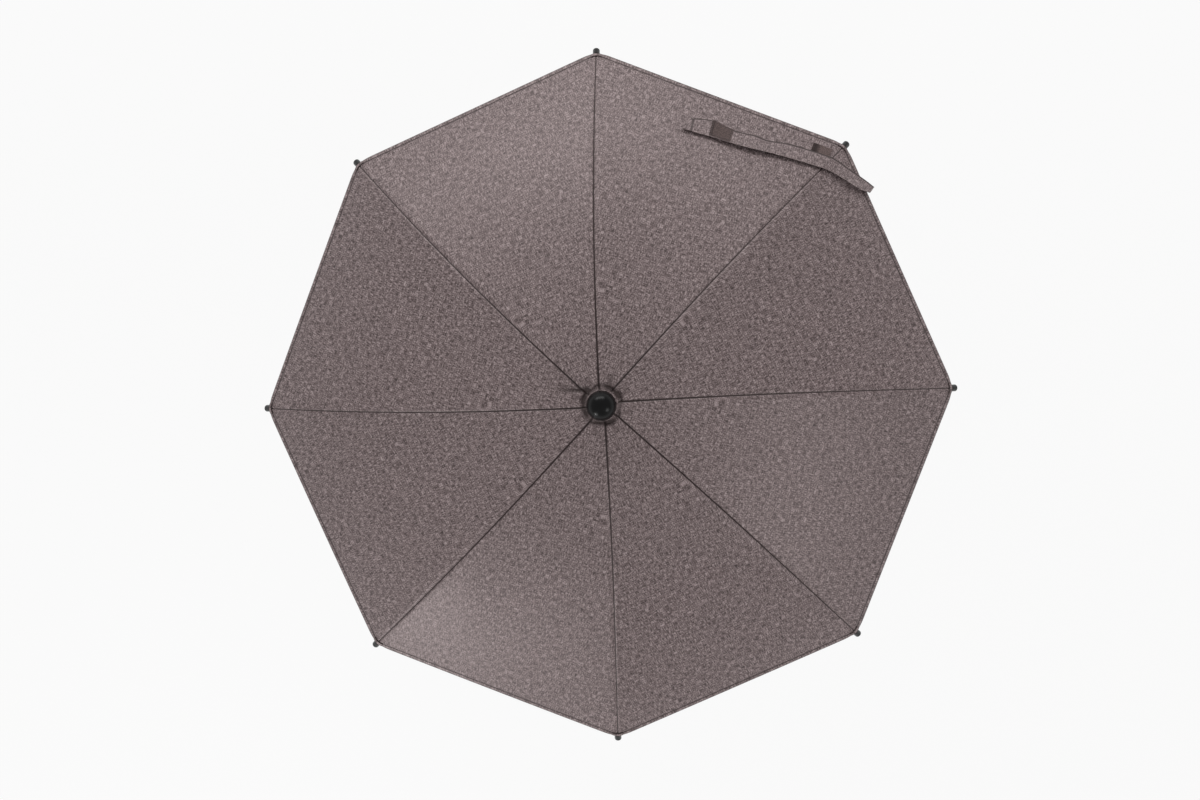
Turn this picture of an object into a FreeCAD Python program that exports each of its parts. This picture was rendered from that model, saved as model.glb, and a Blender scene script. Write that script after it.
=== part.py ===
import FreeCAD, Part
import Sketcher
import math
import os

# Pram parasol, in millimetres. Z is up along the pole, X to the right and Y away from the viewer who looks
# down on the canopy. The origin is the centre of the clamp's bore, whose axis lies along Y.

doc = FreeCAD.newDocument("pram_parasol")
sheet = doc.addObject("Spreadsheet::Sheet", "Sizes")

SIZES = [
    ("crown_height", 720, "rib pivots above the clamp bore's centre"),
    ("ring_radius", 11, "rib and stretcher pivots from the pole's axis"),
    ("ring_wire_radius", 0.6, "wire of the two pivot rings"),
    ("rib_bend_radius", 700, "arc that each rib is bent to"),
    ("rib_bend_centre", 54, "that arc's centre, beyond the pole's axis"),
    ("rib_reach", 344.4, "rib ends from the pole's axis"),
    ("rib_rod_radius", 1.5, "rib rod"),
    ("eye_radius", 2.2, "outside of the rib and stretcher eyes"),
    ("eye_thickness", 2.4, "rib eyes along the ring"),
    ("eye_hole_radius", 0.75, "hole of the eyes on the rings"),
    ("clip_reach", 171.7, "stretcher clips from the pole's axis"),
    ("clip_drop", 5, "clip pivot below the rib's centreline"),
    ("clip_length", 8, "clip along the rib"),
    ("clip_width", 4.8, "clip over both ears"),
    ("clip_gap", 2.8, "between the ears"),
    ("clip_pin_radius", 0.9, "rivet through the ears"),
    ("bar_width", 2.2, "stretcher bar across"),
    ("bar_height", 4, "stretcher bar on edge"),
    ("bar_channel", 1.0, "width of the channel pressed into the bar"),
    ("bar_eye_radius", 2.4, "stretcher eye at the clip"),
    ("bar_eye_hole", 1.0, "its hole"),
    ("cap_radius", 3.5, "tip cap's head"),
    ("cap_collar_radius", 2.4, "tip cap's collar under the fabric corner"),
    ("cap_collar_length", 7, "that collar along the rib"),
    ("cap_head_length", 7.3, "tip cap's head along the rib"),
    ("cap_rounding", 1.8, "rounding of its end"),
    ("cap_bore_radius", 1.6, "bore for the rib's end"),
    ("fabric_lift", 2.8, "fabric's underside above the rib's centreline"),
    ("fabric_thickness", 0.6, "fabric"),
    ("fabric_hole", 6, "fabric's inner corners from the pole's axis"),
    ("fabric_reach", 344, "fabric's outer corners from the pole's axis"),
    ("hem_reach", 320, "middles of the hems from the pole's axis"),
    ("gore_bend_radius", 690, "arc of the gore's middle line"),
    ("seam_gap", 0.2, "half the gap left between neighbouring halves"),
    ("notch_radius", 15, "crown notch"),
    ("notch_top", 0.4, "its top above the rib pivots"),
    ("notch_bottom", 9, "its underside below the rib pivots"),
    ("slot_width", 3.4, "slots of the notch and the runner"),
    ("slot_floor_radius", 8, "bottom of those slots"),
    ("groove_width", 1.5, "groove for a ring"),
    ("groove_depth", 0.75, "groove's floor below the ring's centre"),
    ("finial_radius", 14, "finial's ball"),
    ("finial_flat", 59, "degrees below the ball's equator where its foot is cut"),
    ("finial_foot", 4.8, "finial's foot above the rib pivots"),
    ("finial_stud_radius", 4.15, "stud in the top of the pole"),
    ("finial_stud_length", 18, "that stud"),
    ("pole_radius", 5, "both poles"),
    ("pole_wall", 0.8, "wall of both poles"),
    ("pole_top", 3.6, "top of the upper pole above the rib pivots"),
    ("runner_bore", 5.2, "runner's bore"),
    ("runner_sleeve_radius", 9.5, "runner's sleeve"),
    ("runner_flange_half", 5, "runner's flange above and below its pivots"),
    ("runner_length", 45, "runner's foot below its pivots"),
    ("runner_grip_radius", 11.5, "grip at the runner's foot"),
    ("runner_grip_length", 8, "that grip"),
    ("runner_slot_floor", 2.7, "slot floor below the pivots"),
    ("keyway_radius", 7.7, "runner's keyway for the catch"),
    ("keyway_width", 2.8, "that keyway"),
    ("catch_azimuth", 22.5, "catch round the pole, in degrees"),
    ("catch_nose", 7.3, "catch's nose from the pole's axis"),
    ("catch_thickness", 2, "catch"),
    ("catch_length", 36, "catch along the pole"),
    ("catch_gap", 0.5, "catch's top below the runner's foot"),
    ("tilt_height", 290, "tilt pivot above the clamp bore's centre"),
    ("knuckle_radius", 12, "tongue and cheeks"),
    ("tongue_thickness", 8, "tongue"),
    ("cheek_gap", 0.2, "between tongue and cheek"),
    ("cheek_thickness", 4, "plain cheek"),
    ("button_cheek", 7.8, "cheek that holds the button"),
    ("knuckle_relief", 12.6, "cleared radius round the knuckle"),
    ("sleeve_radius", 8, "knuckle sleeves"),
    ("sleeve_length", 28, "knuckle sleeves on the poles"),
    ("bolt_radius", 3, "pivot bolt"),
    ("bolt_head_radius", 6, "its head"),
    ("bolt_head_height", 2.8, "its head"),
    ("button_radius", 6, "tilt button"),
    ("button_bore", 6.2, "its bore in the cheek"),
    ("button_floor", 5.6, "floor of that bore from the pole's axis"),
    ("button_inner", 9.8, "button's inner face from the pole's axis"),
    ("button_outer", 14.6, "button's outer face from the pole's axis"),
    ("spring_radius", 4.2, "button spring's mean radius"),
    ("spring_wire", 0.7, "its wire"),
    ("spring_turns", 2.5, "its turns"),
    ("tube_radius", 12.5, "pram tube that the clamp is for"),
    ("pad_thickness", 1.9, "rubber pads"),
    ("pad_angle", 140, "pads round the tube, in degrees"),
    ("clamp_width", 24, "clamp along the tube"),
    ("clamp_left", 30, "clamp's left side"),
    ("clamp_right", 44, "clamp's right side"),
    ("clamp_top", 30, "clamp's top"),
    ("clamp_foot", 14, "clamp's foot"),
    ("clamp_ceiling", 17, "underside of its bridge"),
    ("clamp_leg", 10, "leg that the screw runs through"),
    ("clamp_lip", 5, "jaw lips from the bore's centre"),
    ("clamp_corner", 4, "rounding of its outer corners"),
    ("socket_radius", 11, "pole socket"),
    ("socket_top", 60, "pole socket's rim"),
    ("socket_floor", 32, "pole socket's floor"),
    ("socket_clearance", 0.1, "pole in its socket"),
    ("jaw_back", 24, "jaw's back"),
    ("jaw_clearance", 0.4, "jaw under the bridge"),
    ("screw_radius", 4, "clamp screw"),
    ("screw_start", 18.2, "its inner end"),
    ("screw_end", 66, "its outer end"),
    ("knob_start", 54, "knob's inner face"),
    ("knob_end", 70, "knob's outer face"),
    ("knob_radius", 14, "knob"),
    ("knob_scallop", 5, "finger scallops"),
    ("strap_thickness", 1.2, "tie strap"),
]
NUMBERS = {}
for row, (alias, number, meaning) in enumerate(SIZES, 1):
    sheet.set(f"A{row}", meaning)
    sheet.set(f"B{row}", str(number))
    sheet.setAlias(f"B{row}", alias)
    NUMBERS[alias] = number
doc.recompute()


class Size:
    """A length or angle: its number now, and the formula that gives it from the sheet."""

    def __init__(self, number, formula):
        self.number = number
        self.formula = formula

    def joined(self, sign, other, number):
        return Size(number, f"({self.formula} {sign} {as_size(other).formula})")

    def __add__(self, other):
        return self.joined("+", other, self.number + as_size(other).number)

    def __sub__(self, other):
        return self.joined("-", other, self.number - as_size(other).number)

    def __mul__(self, other):
        return self.joined("*", other, self.number * as_size(other).number)

    def __truediv__(self, other):
        return self.joined("/", other, self.number / as_size(other).number)

    def __neg__(self):
        return self * -1


def as_size(value):
    return value if isinstance(value, Size) else Size(value, repr(value))


def size(alias):
    return Size(NUMBERS[alias], f"Sizes.{alias}")


def root(value):
    return Size(math.sqrt(value.number), f"sqrt({value.formula})")


def bind(thing, **sizes):
    for name, value in sizes.items():
        thing.setExpression(name.replace("__", "."), as_size(value).formula)


def vector(x, y, z):
    return FreeCAD.Vector(*(as_size(value).number for value in (x, y, z)))


# Sketches and solids

UP = FreeCAD.Vector(0, 0, 1)
ALONG_Y = FreeCAD.Rotation(FreeCAD.Vector(1, 0, 0), -90)
ALONG_X = FreeCAD.Rotation(FreeCAD.Vector(0, 1, 0), 90)
ZERO = as_size(0)
subparts = {}


def new_body(label):
    body = doc.addObject("PartDesign::Body", label)
    subparts[label] = body
    return body


def new_sketch(body, plane, turn=0.0, shift=None):
    """A sketch on one of the body's own origin planes, turned about the pole and shifted along its normal."""
    sketch = body.newObject("Sketcher::SketchObject", f"{body.Name}_sketch")
    support = [f for f in body.Origin.OriginFeatures if getattr(f, "Role", "") == plane][0]
    sketch.AttachmentSupport = [(support, "")]
    sketch.MapMode = "FlatFace"
    pole_direction = UP if plane == "XY_Plane" else FreeCAD.Vector(0, 1, 0)
    rotation = FreeCAD.Rotation(pole_direction, turn)
    offset = FreeCAD.Vector(0, 0, as_size(shift).number if shift else 0)
    sketch.AttachmentOffset = FreeCAD.Placement(rotation.multVec(offset), rotation)
    if shift and not turn:
        bind(sketch, AttachmentOffset__Base__z=shift)
    return sketch


def hold(sketch, kind, geometry, point, value):
    """Fix one coordinate of a point, or a radius, by a named constraint bound to the sheet."""
    value = as_size(value)
    if value.formula == "0":
        axis = -2 if kind == "DistanceX" else -1
        sketch.addConstraint(Sketcher.Constraint("PointOnObject", geometry, point, axis))
        return
    if kind == "Radius":
        index = sketch.addConstraint(Sketcher.Constraint(kind, geometry, value.number))
    else:
        index = sketch.addConstraint(Sketcher.Constraint(kind, -1, 1, geometry, point, value.number))
    name = f"{kind}_{index}"
    sketch.renameConstraint(index, name)
    sketch.setExpression(f"Constraints.{name}", value.formula)


def draw_outline(sketch, points):
    """A closed outline of straight lines through the points."""
    corners = [vector(x, y, 0) for x, y in points]
    lines = [
        sketch.addGeometry(Part.LineSegment(start, end))
        for start, end in zip(corners, corners[1:] + corners[:1])
    ]
    for line, following in zip(lines, lines[1:] + lines[:1]):
        sketch.addConstraint(Sketcher.Constraint("Coincident", line, 2, following, 1))
    for line, (x, y) in zip(lines, points):
        hold(sketch, "DistanceX", line, 1, x)
        hold(sketch, "DistanceY", line, 1, y)
    return sketch


def draw_circle(sketch, x, y, radius):
    circle = Part.Circle(vector(x, y, 0), UP, radius.number)
    index = sketch.addGeometry(circle)
    hold(sketch, "Radius", index, 0, radius)
    hold(sketch, "DistanceX", index, 3, x)
    hold(sketch, "DistanceY", index, 3, y)
    return sketch


def draw_strip(sketch, centre, radius, thickness, start, end):
    """A thin strip between two arcs of one centre, from start to end across the sketch."""
    arcs = []
    for arc_radius in (radius, radius + thickness):
        circle = Part.Circle(vector(*centre, 0), UP, arc_radius.number)
        angles = [math.acos((as_size(x).number - centre[0].number) / arc_radius.number) for x in (end, start)]
        arcs.append(sketch.addGeometry(Part.ArcOfCircle(circle, *angles)))
    inner, outer = arcs
    ends = [
        sketch.addGeometry(Part.LineSegment(sketch.getPoint(inner, point), sketch.getPoint(outer, point)))
        for point in (1, 2)
    ]
    for point, line in zip((1, 2), ends):
        sketch.addConstraint(Sketcher.Constraint("Coincident", inner, point, line, 1))
        sketch.addConstraint(Sketcher.Constraint("Coincident", outer, point, line, 2))
    sketch.addConstraint(Sketcher.Constraint("Coincident", inner, 3, outer, 3))
    hold(sketch, "DistanceX", inner, 3, centre[0])
    hold(sketch, "DistanceY", inner, 3, centre[1])
    hold(sketch, "Radius", inner, 0, radius)
    hold(sketch, "Radius", outer, 0, radius + thickness)
    for arc in arcs:
        hold(sketch, "DistanceX", arc, 1, end)
        hold(sketch, "DistanceX", arc, 2, start)
    return sketch


def revolve(body, points):
    """Turn an outline of (radius, height) points about the pole's axis."""
    sketch = draw_outline(new_sketch(body, "XZ_Plane"), points)
    turned = body.newObject("PartDesign::Revolution", f"{body.Name}_turned")
    turned.Profile = sketch
    turned.ReferenceAxis = (sketch, ["V_Axis"])
    turned.Angle = 360
    return turned


def pad(body, sketch, length, both=False):
    feature = body.newObject("PartDesign::Pad", f"{body.Name}_pad")
    feature.Profile = sketch
    feature.Midplane = both
    bind(feature, Length=length)
    return feature


def pocket(body, sketch, length=None, both=True, flip=False):
    """Cut a sketch into the body: by a length, or through everything where none is given."""
    feature = body.newObject("PartDesign::Pocket", f"{body.Name}_pocket")
    feature.Profile = sketch
    feature.Midplane = both
    feature.Reversed = flip
    if length is None:
        feature.Type = "ThroughAll"
    else:
        bind(feature, Length=length)
    return feature


def repeat_round(body, feature, count, axis="Z_Axis"):
    pattern = body.newObject("PartDesign::PolarPattern", f"{body.Name}_pattern")
    pattern.Originals = [feature]
    pattern.Axis = ([f for f in body.Origin.OriginFeatures if getattr(f, "Role", "") == axis][0], [""])
    pattern.Angle = 360
    pattern.Occurrences = count
    body.Tip = pattern
    return pattern


def place(thing, base=FreeCAD.Vector(), rotation=FreeCAD.Rotation(), azimuth=0.0):
    """Put a primitive at a base with a rotation, then turn it about the pole."""
    turn = FreeCAD.Placement(FreeCAD.Vector(), FreeCAD.Rotation(UP, azimuth))
    thing.Placement = turn.multiply(FreeCAD.Placement(base, rotation))
    return thing


def primitive(kind, name, **sizes):
    thing = doc.addObject(f"Part::{kind}", name)
    bind(thing, **sizes)
    return thing


def fused(name, shapes):
    joined = doc.addObject("Part::MultiFuse", name)
    joined.Shapes = shapes
    joined.Refine = True
    return joined


def cut(name, base, tool):
    result = doc.addObject("Part::Cut", name)
    result.Base = base
    result.Tool = tool
    return result


# Ribs: bent steel rods, each with an eye on the crown ring and a riveted clip for its stretcher

ring = size("ring_radius")
crown = size("crown_height")
bend = size("rib_bend_radius")
bend_x = -size("rib_bend_centre")
bend_z = crown - root(bend * bend - (ring - bend_x) * (ring - bend_x))
reach = size("rib_reach")


def slope(radius):
    """Angle of the rib below the horizontal, at a radius from the pole's axis."""
    return math.degrees(math.asin((as_size(radius).number - bend_x.number) / bend.number))


def rib_frame(radius):
    """Rotation whose X runs outward along the rib at that radius and whose Z stands away from the bend."""
    return FreeCAD.Rotation(FreeCAD.Vector(0, 1, 0), slope(radius))


def rib_point(radius, lift):
    """Point in the rib's plane at that radius, lifted square to the rib's centreline."""
    angle = math.radians(slope(radius))
    away = bend.number + as_size(lift).number
    return FreeCAD.Vector(bend_x.number + away * math.sin(angle), 0, bend_z.number + away * math.cos(angle))


clip_pivot = rib_point(size("clip_reach"), -size("clip_drop"))
rib_pivot = vector(ring, 0, crown)
bar_span = clip_pivot.sub(rib_pivot).Length
runner_pivot = FreeCAD.Vector(ring.number, 0, 2 * clip_pivot.z - crown.number)
bar_length = as_size(round(bar_span, 6))
runner_height = as_size(round(runner_pivot.z, 6))

for number in range(1, 9):
    azimuth = 45.0 * (number - 1)
    tip_turn = slope(reach)
    start_turn = slope(ring)
    rod = primitive("Torus", f"rod_{number}", Radius1=bend, Radius2=size("rib_rod_radius"))
    rod.Angle3 = tip_turn - start_turn
    rod_axes = FreeCAD.Rotation(FreeCAD.Vector(0, 1, 0), start_turn).multiply(
        FreeCAD.Rotation(FreeCAD.Vector(0, 0, 1), FreeCAD.Vector(1, 0, 0), FreeCAD.Vector(0, 1, 0), "ZXY")
    )
    place(rod, vector(bend_x, 0, bend_z), rod_axes, azimuth)
    eye = primitive("Cylinder", f"eye_{number}", Radius=size("eye_radius"), Height=size("eye_thickness"))
    place(eye, rib_pivot - vector(0, size("eye_thickness") / 2, 0), ALONG_Y, azimuth)
    station = rib_point(size("clip_reach"), 0)
    turned = rib_frame(size("clip_reach"))
    ears = primitive(
        "Box", f"ears_{number}",
        Length=size("clip_length"), Width=size("clip_width"), Height=size("clip_drop"),
    )
    half_clip = vector(size("clip_length") / -2, size("clip_width") / -2, -size("clip_drop"))
    place(ears, station + turned.multVec(half_clip), turned, azimuth)
    ear_ends = primitive(
        "Cylinder", f"ear_ends_{number}", Radius=size("bar_eye_radius"), Height=size("clip_width"),
    )
    place(ear_ends, clip_pivot + vector(0, size("clip_width") / -2, 0), ALONG_Y, azimuth)
    gap = primitive(
        "Box", f"ear_gap_{number}",
        Length=size("clip_length") * 2, Width=size("clip_gap"), Height=size("clip_drop") * 1.5,
    )
    half_gap = vector(-size("clip_length"), size("clip_gap") / -2, size("clip_drop") * -1.5 - 1.7)
    place(gap, station + turned.multVec(half_gap), turned, azimuth)
    clip = cut(f"clip_{number}", fused(f"clip_blank_{number}", [ears, ear_ends]), gap)
    pin = primitive(
        "Cylinder", f"pin_{number}", Radius=size("clip_pin_radius"), Height=size("clip_width") + 0.8,
    )
    place(pin, clip_pivot + vector(0, size("clip_width") / -2 - 0.4, 0), ALONG_Y, azimuth)
    hole = primitive(
        "Cylinder", f"eye_hole_{number}", Radius=size("eye_hole_radius"), Height=size("eye_thickness") * 2,
    )
    place(hole, rib_pivot - vector(0, size("eye_thickness"), 0), ALONG_Y, azimuth)
    solid = fused(f"rib_solid_{number}", [rod, eye, clip, pin])
    subparts[f"rib_{number}"] = cut(f"rib_{number}", solid, hole)

# Tip caps: moulded caps pushed on the rib ends, with a collar under the sewn fabric corner

for number in range(1, 9):
    azimuth = 45.0 * (number - 1)
    outward = FreeCAD.Rotation(FreeCAD.Vector(0, 1, 0), 90 + slope(reach))
    rib_end = rib_point(reach, 0)
    collar_length = size("cap_collar_length")
    collar = primitive(
        "Cylinder", f"cap_collar_{number}", Radius=size("cap_collar_radius"), Height=collar_length + 2,
    )
    place(collar, rib_end + outward.multVec(vector(0, 0, -collar_length - 2)), outward, azimuth)
    head = primitive(
        "Cylinder", f"cap_head_{number}", Radius=size("cap_radius"), Height=size("cap_head_length"),
    )
    place(head, rib_end + outward.multVec(vector(0, 0, -2)), outward, azimuth)
    rounded = doc.addObject("Part::Fillet", f"cap_rounded_{number}")
    rounded.Base = head
    end_rim = 3
    rounded.Edges = [(end_rim, NUMBERS["cap_rounding"], NUMBERS["cap_rounding"])]
    bore = primitive(
        "Cylinder", f"cap_bore_{number}", Radius=size("cap_bore_radius"), Height=collar_length + 3.5,
    )
    place(bore, rib_end + outward.multVec(vector(0, 0, -collar_length - 3)), outward, azimuth)
    solid = fused(f"cap_solid_{number}", [collar, rounded])
    subparts[f"tip_cap_{number}"] = cut(f"tip_cap_{number}", solid, bore)

# Stretchers: pressed channel bars from the rib clips in to the runner's ring

rise = math.degrees(math.atan2(clip_pivot.z - runner_pivot.z, clip_pivot.x - runner_pivot.x))
for number in range(1, 9):
    azimuth = 45.0 * (number - 1)
    lie = FreeCAD.Rotation(FreeCAD.Vector(0, 1, 0), -rise)
    half_bar = size("bar_width") / -2

    def on_bar(thing, x, y, z, rotation):
        return place(thing, runner_pivot + lie.multVec(vector(x, y, z)), lie.multiply(rotation), azimuth)

    bar = primitive(
        "Box", f"bar_{number}", Length=bar_length, Width=size("bar_width"), Height=size("bar_height"),
    )
    on_bar(bar, 0, half_bar, size("bar_height") / -2, FreeCAD.Rotation())
    inner_eye = primitive(
        "Cylinder", f"bar_inner_eye_{number}", Radius=size("eye_radius"), Height=size("bar_width"),
    )
    on_bar(inner_eye, 0, half_bar, 0, ALONG_Y)
    outer_eye = primitive(
        "Cylinder", f"bar_outer_eye_{number}", Radius=size("bar_eye_radius"), Height=size("bar_width"),
    )
    on_bar(outer_eye, bar_length, half_bar, 0, ALONG_Y)
    inner_hole = primitive(
        "Cylinder", f"bar_inner_hole_{number}", Radius=size("eye_hole_radius"), Height=size("bar_width") * 2,
    )
    on_bar(inner_hole, 0, half_bar * 2, 0, ALONG_Y)
    outer_hole = primitive(
        "Cylinder", f"bar_outer_hole_{number}", Radius=size("bar_eye_hole"), Height=size("bar_width") * 2,
    )
    on_bar(outer_hole, bar_length, half_bar * 2, 0, ALONG_Y)
    channel = primitive(
        "Box", f"bar_channel_{number}",
        Length=bar_length - 16, Width=size("bar_channel"), Height=size("bar_height"),
    )
    on_bar(channel, 8, size("bar_channel") / -2, size("bar_height") * -1.2, FreeCAD.Rotation())
    solid = fused(f"stretcher_solid_{number}", [bar, inner_eye, outer_eye])
    holes = fused(f"stretcher_holes_{number}", [inner_hole, outer_hole, channel])
    subparts[f"stretcher_{number}"] = cut(f"stretcher_{number}", solid, holes)

# Canopy: eight gores of woven fabric, each in two halves that fold at the gore's middle line. Each half is
# lofted from the arc over its rib to the arc of the gore's middle, which lies a little below the ribs.

lift = size("fabric_lift")
thickness = size("fabric_thickness")
hole_reach = size("fabric_hole")
corner_reach = size("fabric_reach")
hem_reach = size("hem_reach")
HALF_TURN = 22.5
narrowing = Size(math.cos(math.radians(HALF_TURN)), f"cos({HALF_TURN} deg)")
over_rib = bend + lift


def over_rib_height(radius):
    return bend_z + root(over_rib * over_rib - (radius - bend_x) * (radius - bend_x))


middle_start = (hole_reach * narrowing, over_rib_height(hole_reach))
middle_end = (hem_reach, over_rib_height(hem_reach / narrowing))
middle_run = middle_end[0] - middle_start[0]
middle_fall = middle_start[1] - middle_end[1]
middle_chord = root(middle_run * middle_run + middle_fall * middle_fall)
gore_bend = size("gore_bend_radius")
middle_depth = root(gore_bend * gore_bend - middle_chord * middle_chord / 4)
gore_centre = (
    (middle_start[0] + middle_end[0]) / 2 - middle_depth * middle_fall / middle_chord,
    (middle_start[1] + middle_end[1]) / 2 - middle_depth * middle_run / middle_chord,
)

for number in range(1, 9):
    for side, sign in (("left", 1), ("right", -1)):
        body = new_body(f"canopy_{number}_{side}")
        seam_gap = size("seam_gap")
        at_rib = new_sketch(body, "XZ_Plane", 0.0, seam_gap * -sign)
        draw_strip(at_rib, (bend_x, bend_z), over_rib, thickness, hole_reach, corner_reach)
        at_middle = new_sketch(body, "XZ_Plane", HALF_TURN * sign, seam_gap * sign)
        draw_strip(at_middle, gore_centre, gore_bend, thickness, middle_start[0], middle_end[0])
        half = body.newObject("PartDesign::AdditiveLoft", f"{body.Name}_loft")
        half.Profile = at_rib
        half.Sections = [at_middle]
        half.Ruled = True
        place(body, azimuth=45.0 * (number - 1))

# Tie strap: a band of the canopy's fabric, sewn to a hem beside rib 2 and laid back over the next gore. Its
# edges in plan run from the sewn end to the free end

STRAP_OUTER = [
    (270.9, 202.8), (263.0, 208.8), (247.2, 219.3), (233.1, 228.8), (218.2, 235.1), (188.4, 245.0),
    (165.8, 249.3), (153.9, 254.3), (133.1, 260.0), (113.9, 269.8), (100.6, 272.4), (92.2, 272.4),
]
STRAP_INNER = [
    (265.7, 196.7), (255.6, 199.5), (239.6, 209.2), (225.8, 216.8), (212.0, 222.0), (184.0, 231.2),
    (162.1, 237.3), (149.1, 240.6), (128.4, 246.9), (109.1, 253.9), (96.1, 257.6), (82.6, 262.4),
]
STRAP_STEPS = 2 * (len(STRAP_OUTER) - 1)
ACROSS = [step / 8 for step in range(9)]


def canopy_height(x, y):
    """Height of the fabric's top over a plan position."""
    radius = math.hypot(x, y)
    angle = math.degrees(math.atan2(y, x)) % 45.0
    off_middle = math.radians(angle - HALF_TURN)
    across = radius * math.cos(off_middle)
    corner = across / narrowing.number
    share = 1 - abs(math.tan(off_middle)) / math.tan(math.radians(HALF_TURN))
    rib_height = over_rib_height(as_size(corner)).number
    middle = gore_centre[1].number + math.sqrt(gore_bend.number**2 - (across - gore_centre[0].number) ** 2)
    return rib_height + (middle - rib_height) * share + thickness.number * 1.25


def strap_spot(along, share):
    """Plan position on the strap: along counts edge points, share goes from the outer to the inner edge."""
    first = min(int(along), len(STRAP_OUTER) - 2)
    ends = []
    for edge in (STRAP_OUTER, STRAP_INNER):
        here, there = (FreeCAD.Vector(*point, 0) for point in edge[first:first + 2])
        ends.append(here + (there - here) * (along - first))
    return ends[0] * (1 - share) + ends[1] * share


def strap_station(along):
    """One cross-section of the strap, clear of the fabric there and on the way to the next, inner edge up."""
    heights = []
    for share in ACROSS:
        spots = [strap_spot(along + shift, share) for shift in (-0.25, 0, 0.25)]
        heights.append(max(canopy_height(spot.x, spot.y) for spot in spots))
    ridge = max(high - heights[0] * (1 - share) - heights[-1] * share for high, share in zip(heights, ACROSS))
    outer, inner = strap_spot(along, 0), strap_spot(along, 1)
    outer.z = heights[0] + ridge + 1.2
    inner.z = heights[-1] + ridge + 2.4
    up = FreeCAD.Vector(0, 0, size("strap_thickness").number)
    return Part.makePolygon([outer, inner, inner + up, outer + up, outer])


strap = doc.addObject("Part::Feature", "tie_strap")
strap.Shape = Part.makeLoft([strap_station(step / 2) for step in range(STRAP_STEPS + 1)], True, True)
subparts["tie_strap"] = strap

# Crown notch: slotted hub on the pole, its ring of wire holds the rib eyes

pole = size("pole_radius")
notch = new_body("crown_notch")
notch_top = crown + size("notch_top")
notch_bottom = crown - size("notch_bottom")
revolve(notch, [
    (pole, notch_bottom),
    (size("notch_radius") - 2, notch_bottom),
    (size("notch_radius"), notch_bottom + 2),
    (size("notch_radius"), notch_top),
    (ring + size("groove_width") / 2, notch_top),
    (ring + size("groove_width") / 2, crown - size("groove_depth")),
    (ring - size("groove_width") / 2, crown - size("groove_depth")),
    (ring - size("groove_width") / 2, notch_top),
    (pole, notch_top),
])
notch_slot = draw_outline(new_sketch(notch, "XZ_Plane"), [
    (size("slot_floor_radius"), notch_bottom - 1),
    (size("notch_radius") + 1, notch_bottom - 1),
    (size("notch_radius") + 1, notch_top + 1),
    (size("slot_floor_radius"), notch_top + 1),
])
repeat_round(notch, pocket(notch, notch_slot, size("slot_width")), 8)

for label, height in (("crown_wire", crown), ("runner_wire", runner_height)):
    wire = primitive("Torus", label, Radius1=ring, Radius2=size("ring_wire_radius"))
    place(wire, vector(0, 0, height))
    subparts[label] = wire

# Finial: ball screwed into the pole's top, its foot presses the canopy's crown on the notch

ball = primitive("Sphere", "finial_ball", Radius=size("finial_radius"), Angle1=-size("finial_flat"))
foot = crown + size("finial_foot")
ball_rise = size("finial_radius").number * math.sin(math.radians(size("finial_flat").number))
place(ball, vector(0, 0, foot + ball_rise))
stud = primitive(
    "Cylinder", "finial_stud", Radius=size("finial_stud_radius"), Height=size("finial_stud_length"),
)
place(stud, vector(0, 0, foot - size("finial_stud_length") + 2))
subparts["finial"] = fused("finial", [ball, stud])

# Runner: collar that slides on the pole and carries the stretchers

runner = new_body("runner")
flange_top = runner_height + size("runner_flange_half")
flange_bottom = runner_height - size("runner_flange_half")
runner_foot = runner_height - size("runner_length")
grip_top = runner_foot + size("runner_grip_length")
revolve(runner, [
    (size("runner_bore"), runner_foot),
    (size("runner_grip_radius"), runner_foot),
    (size("runner_grip_radius"), grip_top),
    (size("runner_sleeve_radius"), grip_top + 3),
    (size("runner_sleeve_radius"), flange_bottom - 3),
    (size("notch_radius"), flange_bottom),
    (size("notch_radius"), flange_top),
    (ring + size("groove_width") / 2, flange_top),
    (ring + size("groove_width") / 2, runner_height - size("groove_depth")),
    (ring - size("groove_width") / 2, runner_height - size("groove_depth")),
    (ring - size("groove_width") / 2, flange_top),
    (size("runner_bore"), flange_top),
])
runner_slot = draw_outline(new_sketch(runner, "XZ_Plane"), [
    (size("slot_floor_radius"), runner_height - size("runner_slot_floor")),
    (size("notch_radius") + 1, runner_height - size("runner_slot_floor")),
    (size("notch_radius") + 1, flange_top + 1),
    (size("slot_floor_radius"), flange_top + 1),
])
repeat_round(runner, pocket(runner, runner_slot, size("slot_width")), 8)
keyway = draw_outline(new_sketch(runner, "XZ_Plane", size("catch_azimuth").number), [
    (pole - 1, runner_foot - 1),
    (size("keyway_radius"), runner_foot - 1),
    (size("keyway_radius"), flange_top + 1),
    (pole - 1, flange_top + 1),
])
pocket(runner, keyway, size("keyway_width"))

# Runner catch: sprung steel tongue in a slot of the upper pole, its nose holds the runner up

catch = new_body("runner_catch")
catch_top = runner_foot - size("catch_gap")
catch_bottom = catch_top - size("catch_length")
nose = size("catch_nose")
catch_outline = draw_outline(new_sketch(catch, "XZ_Plane", size("catch_azimuth").number), [
    (as_size(1.2), catch_bottom),
    (as_size(3.8), catch_bottom),
    (as_size(4.8), catch_bottom + 5),
    (nose, catch_top - 5),
    (nose, catch_top),
    (as_size(1.2), catch_top),
])
pad(catch, catch_outline, size("catch_thickness"), both=True)

# Upper pole: aluminium tube from the tilt knuckle to the crown

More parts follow.
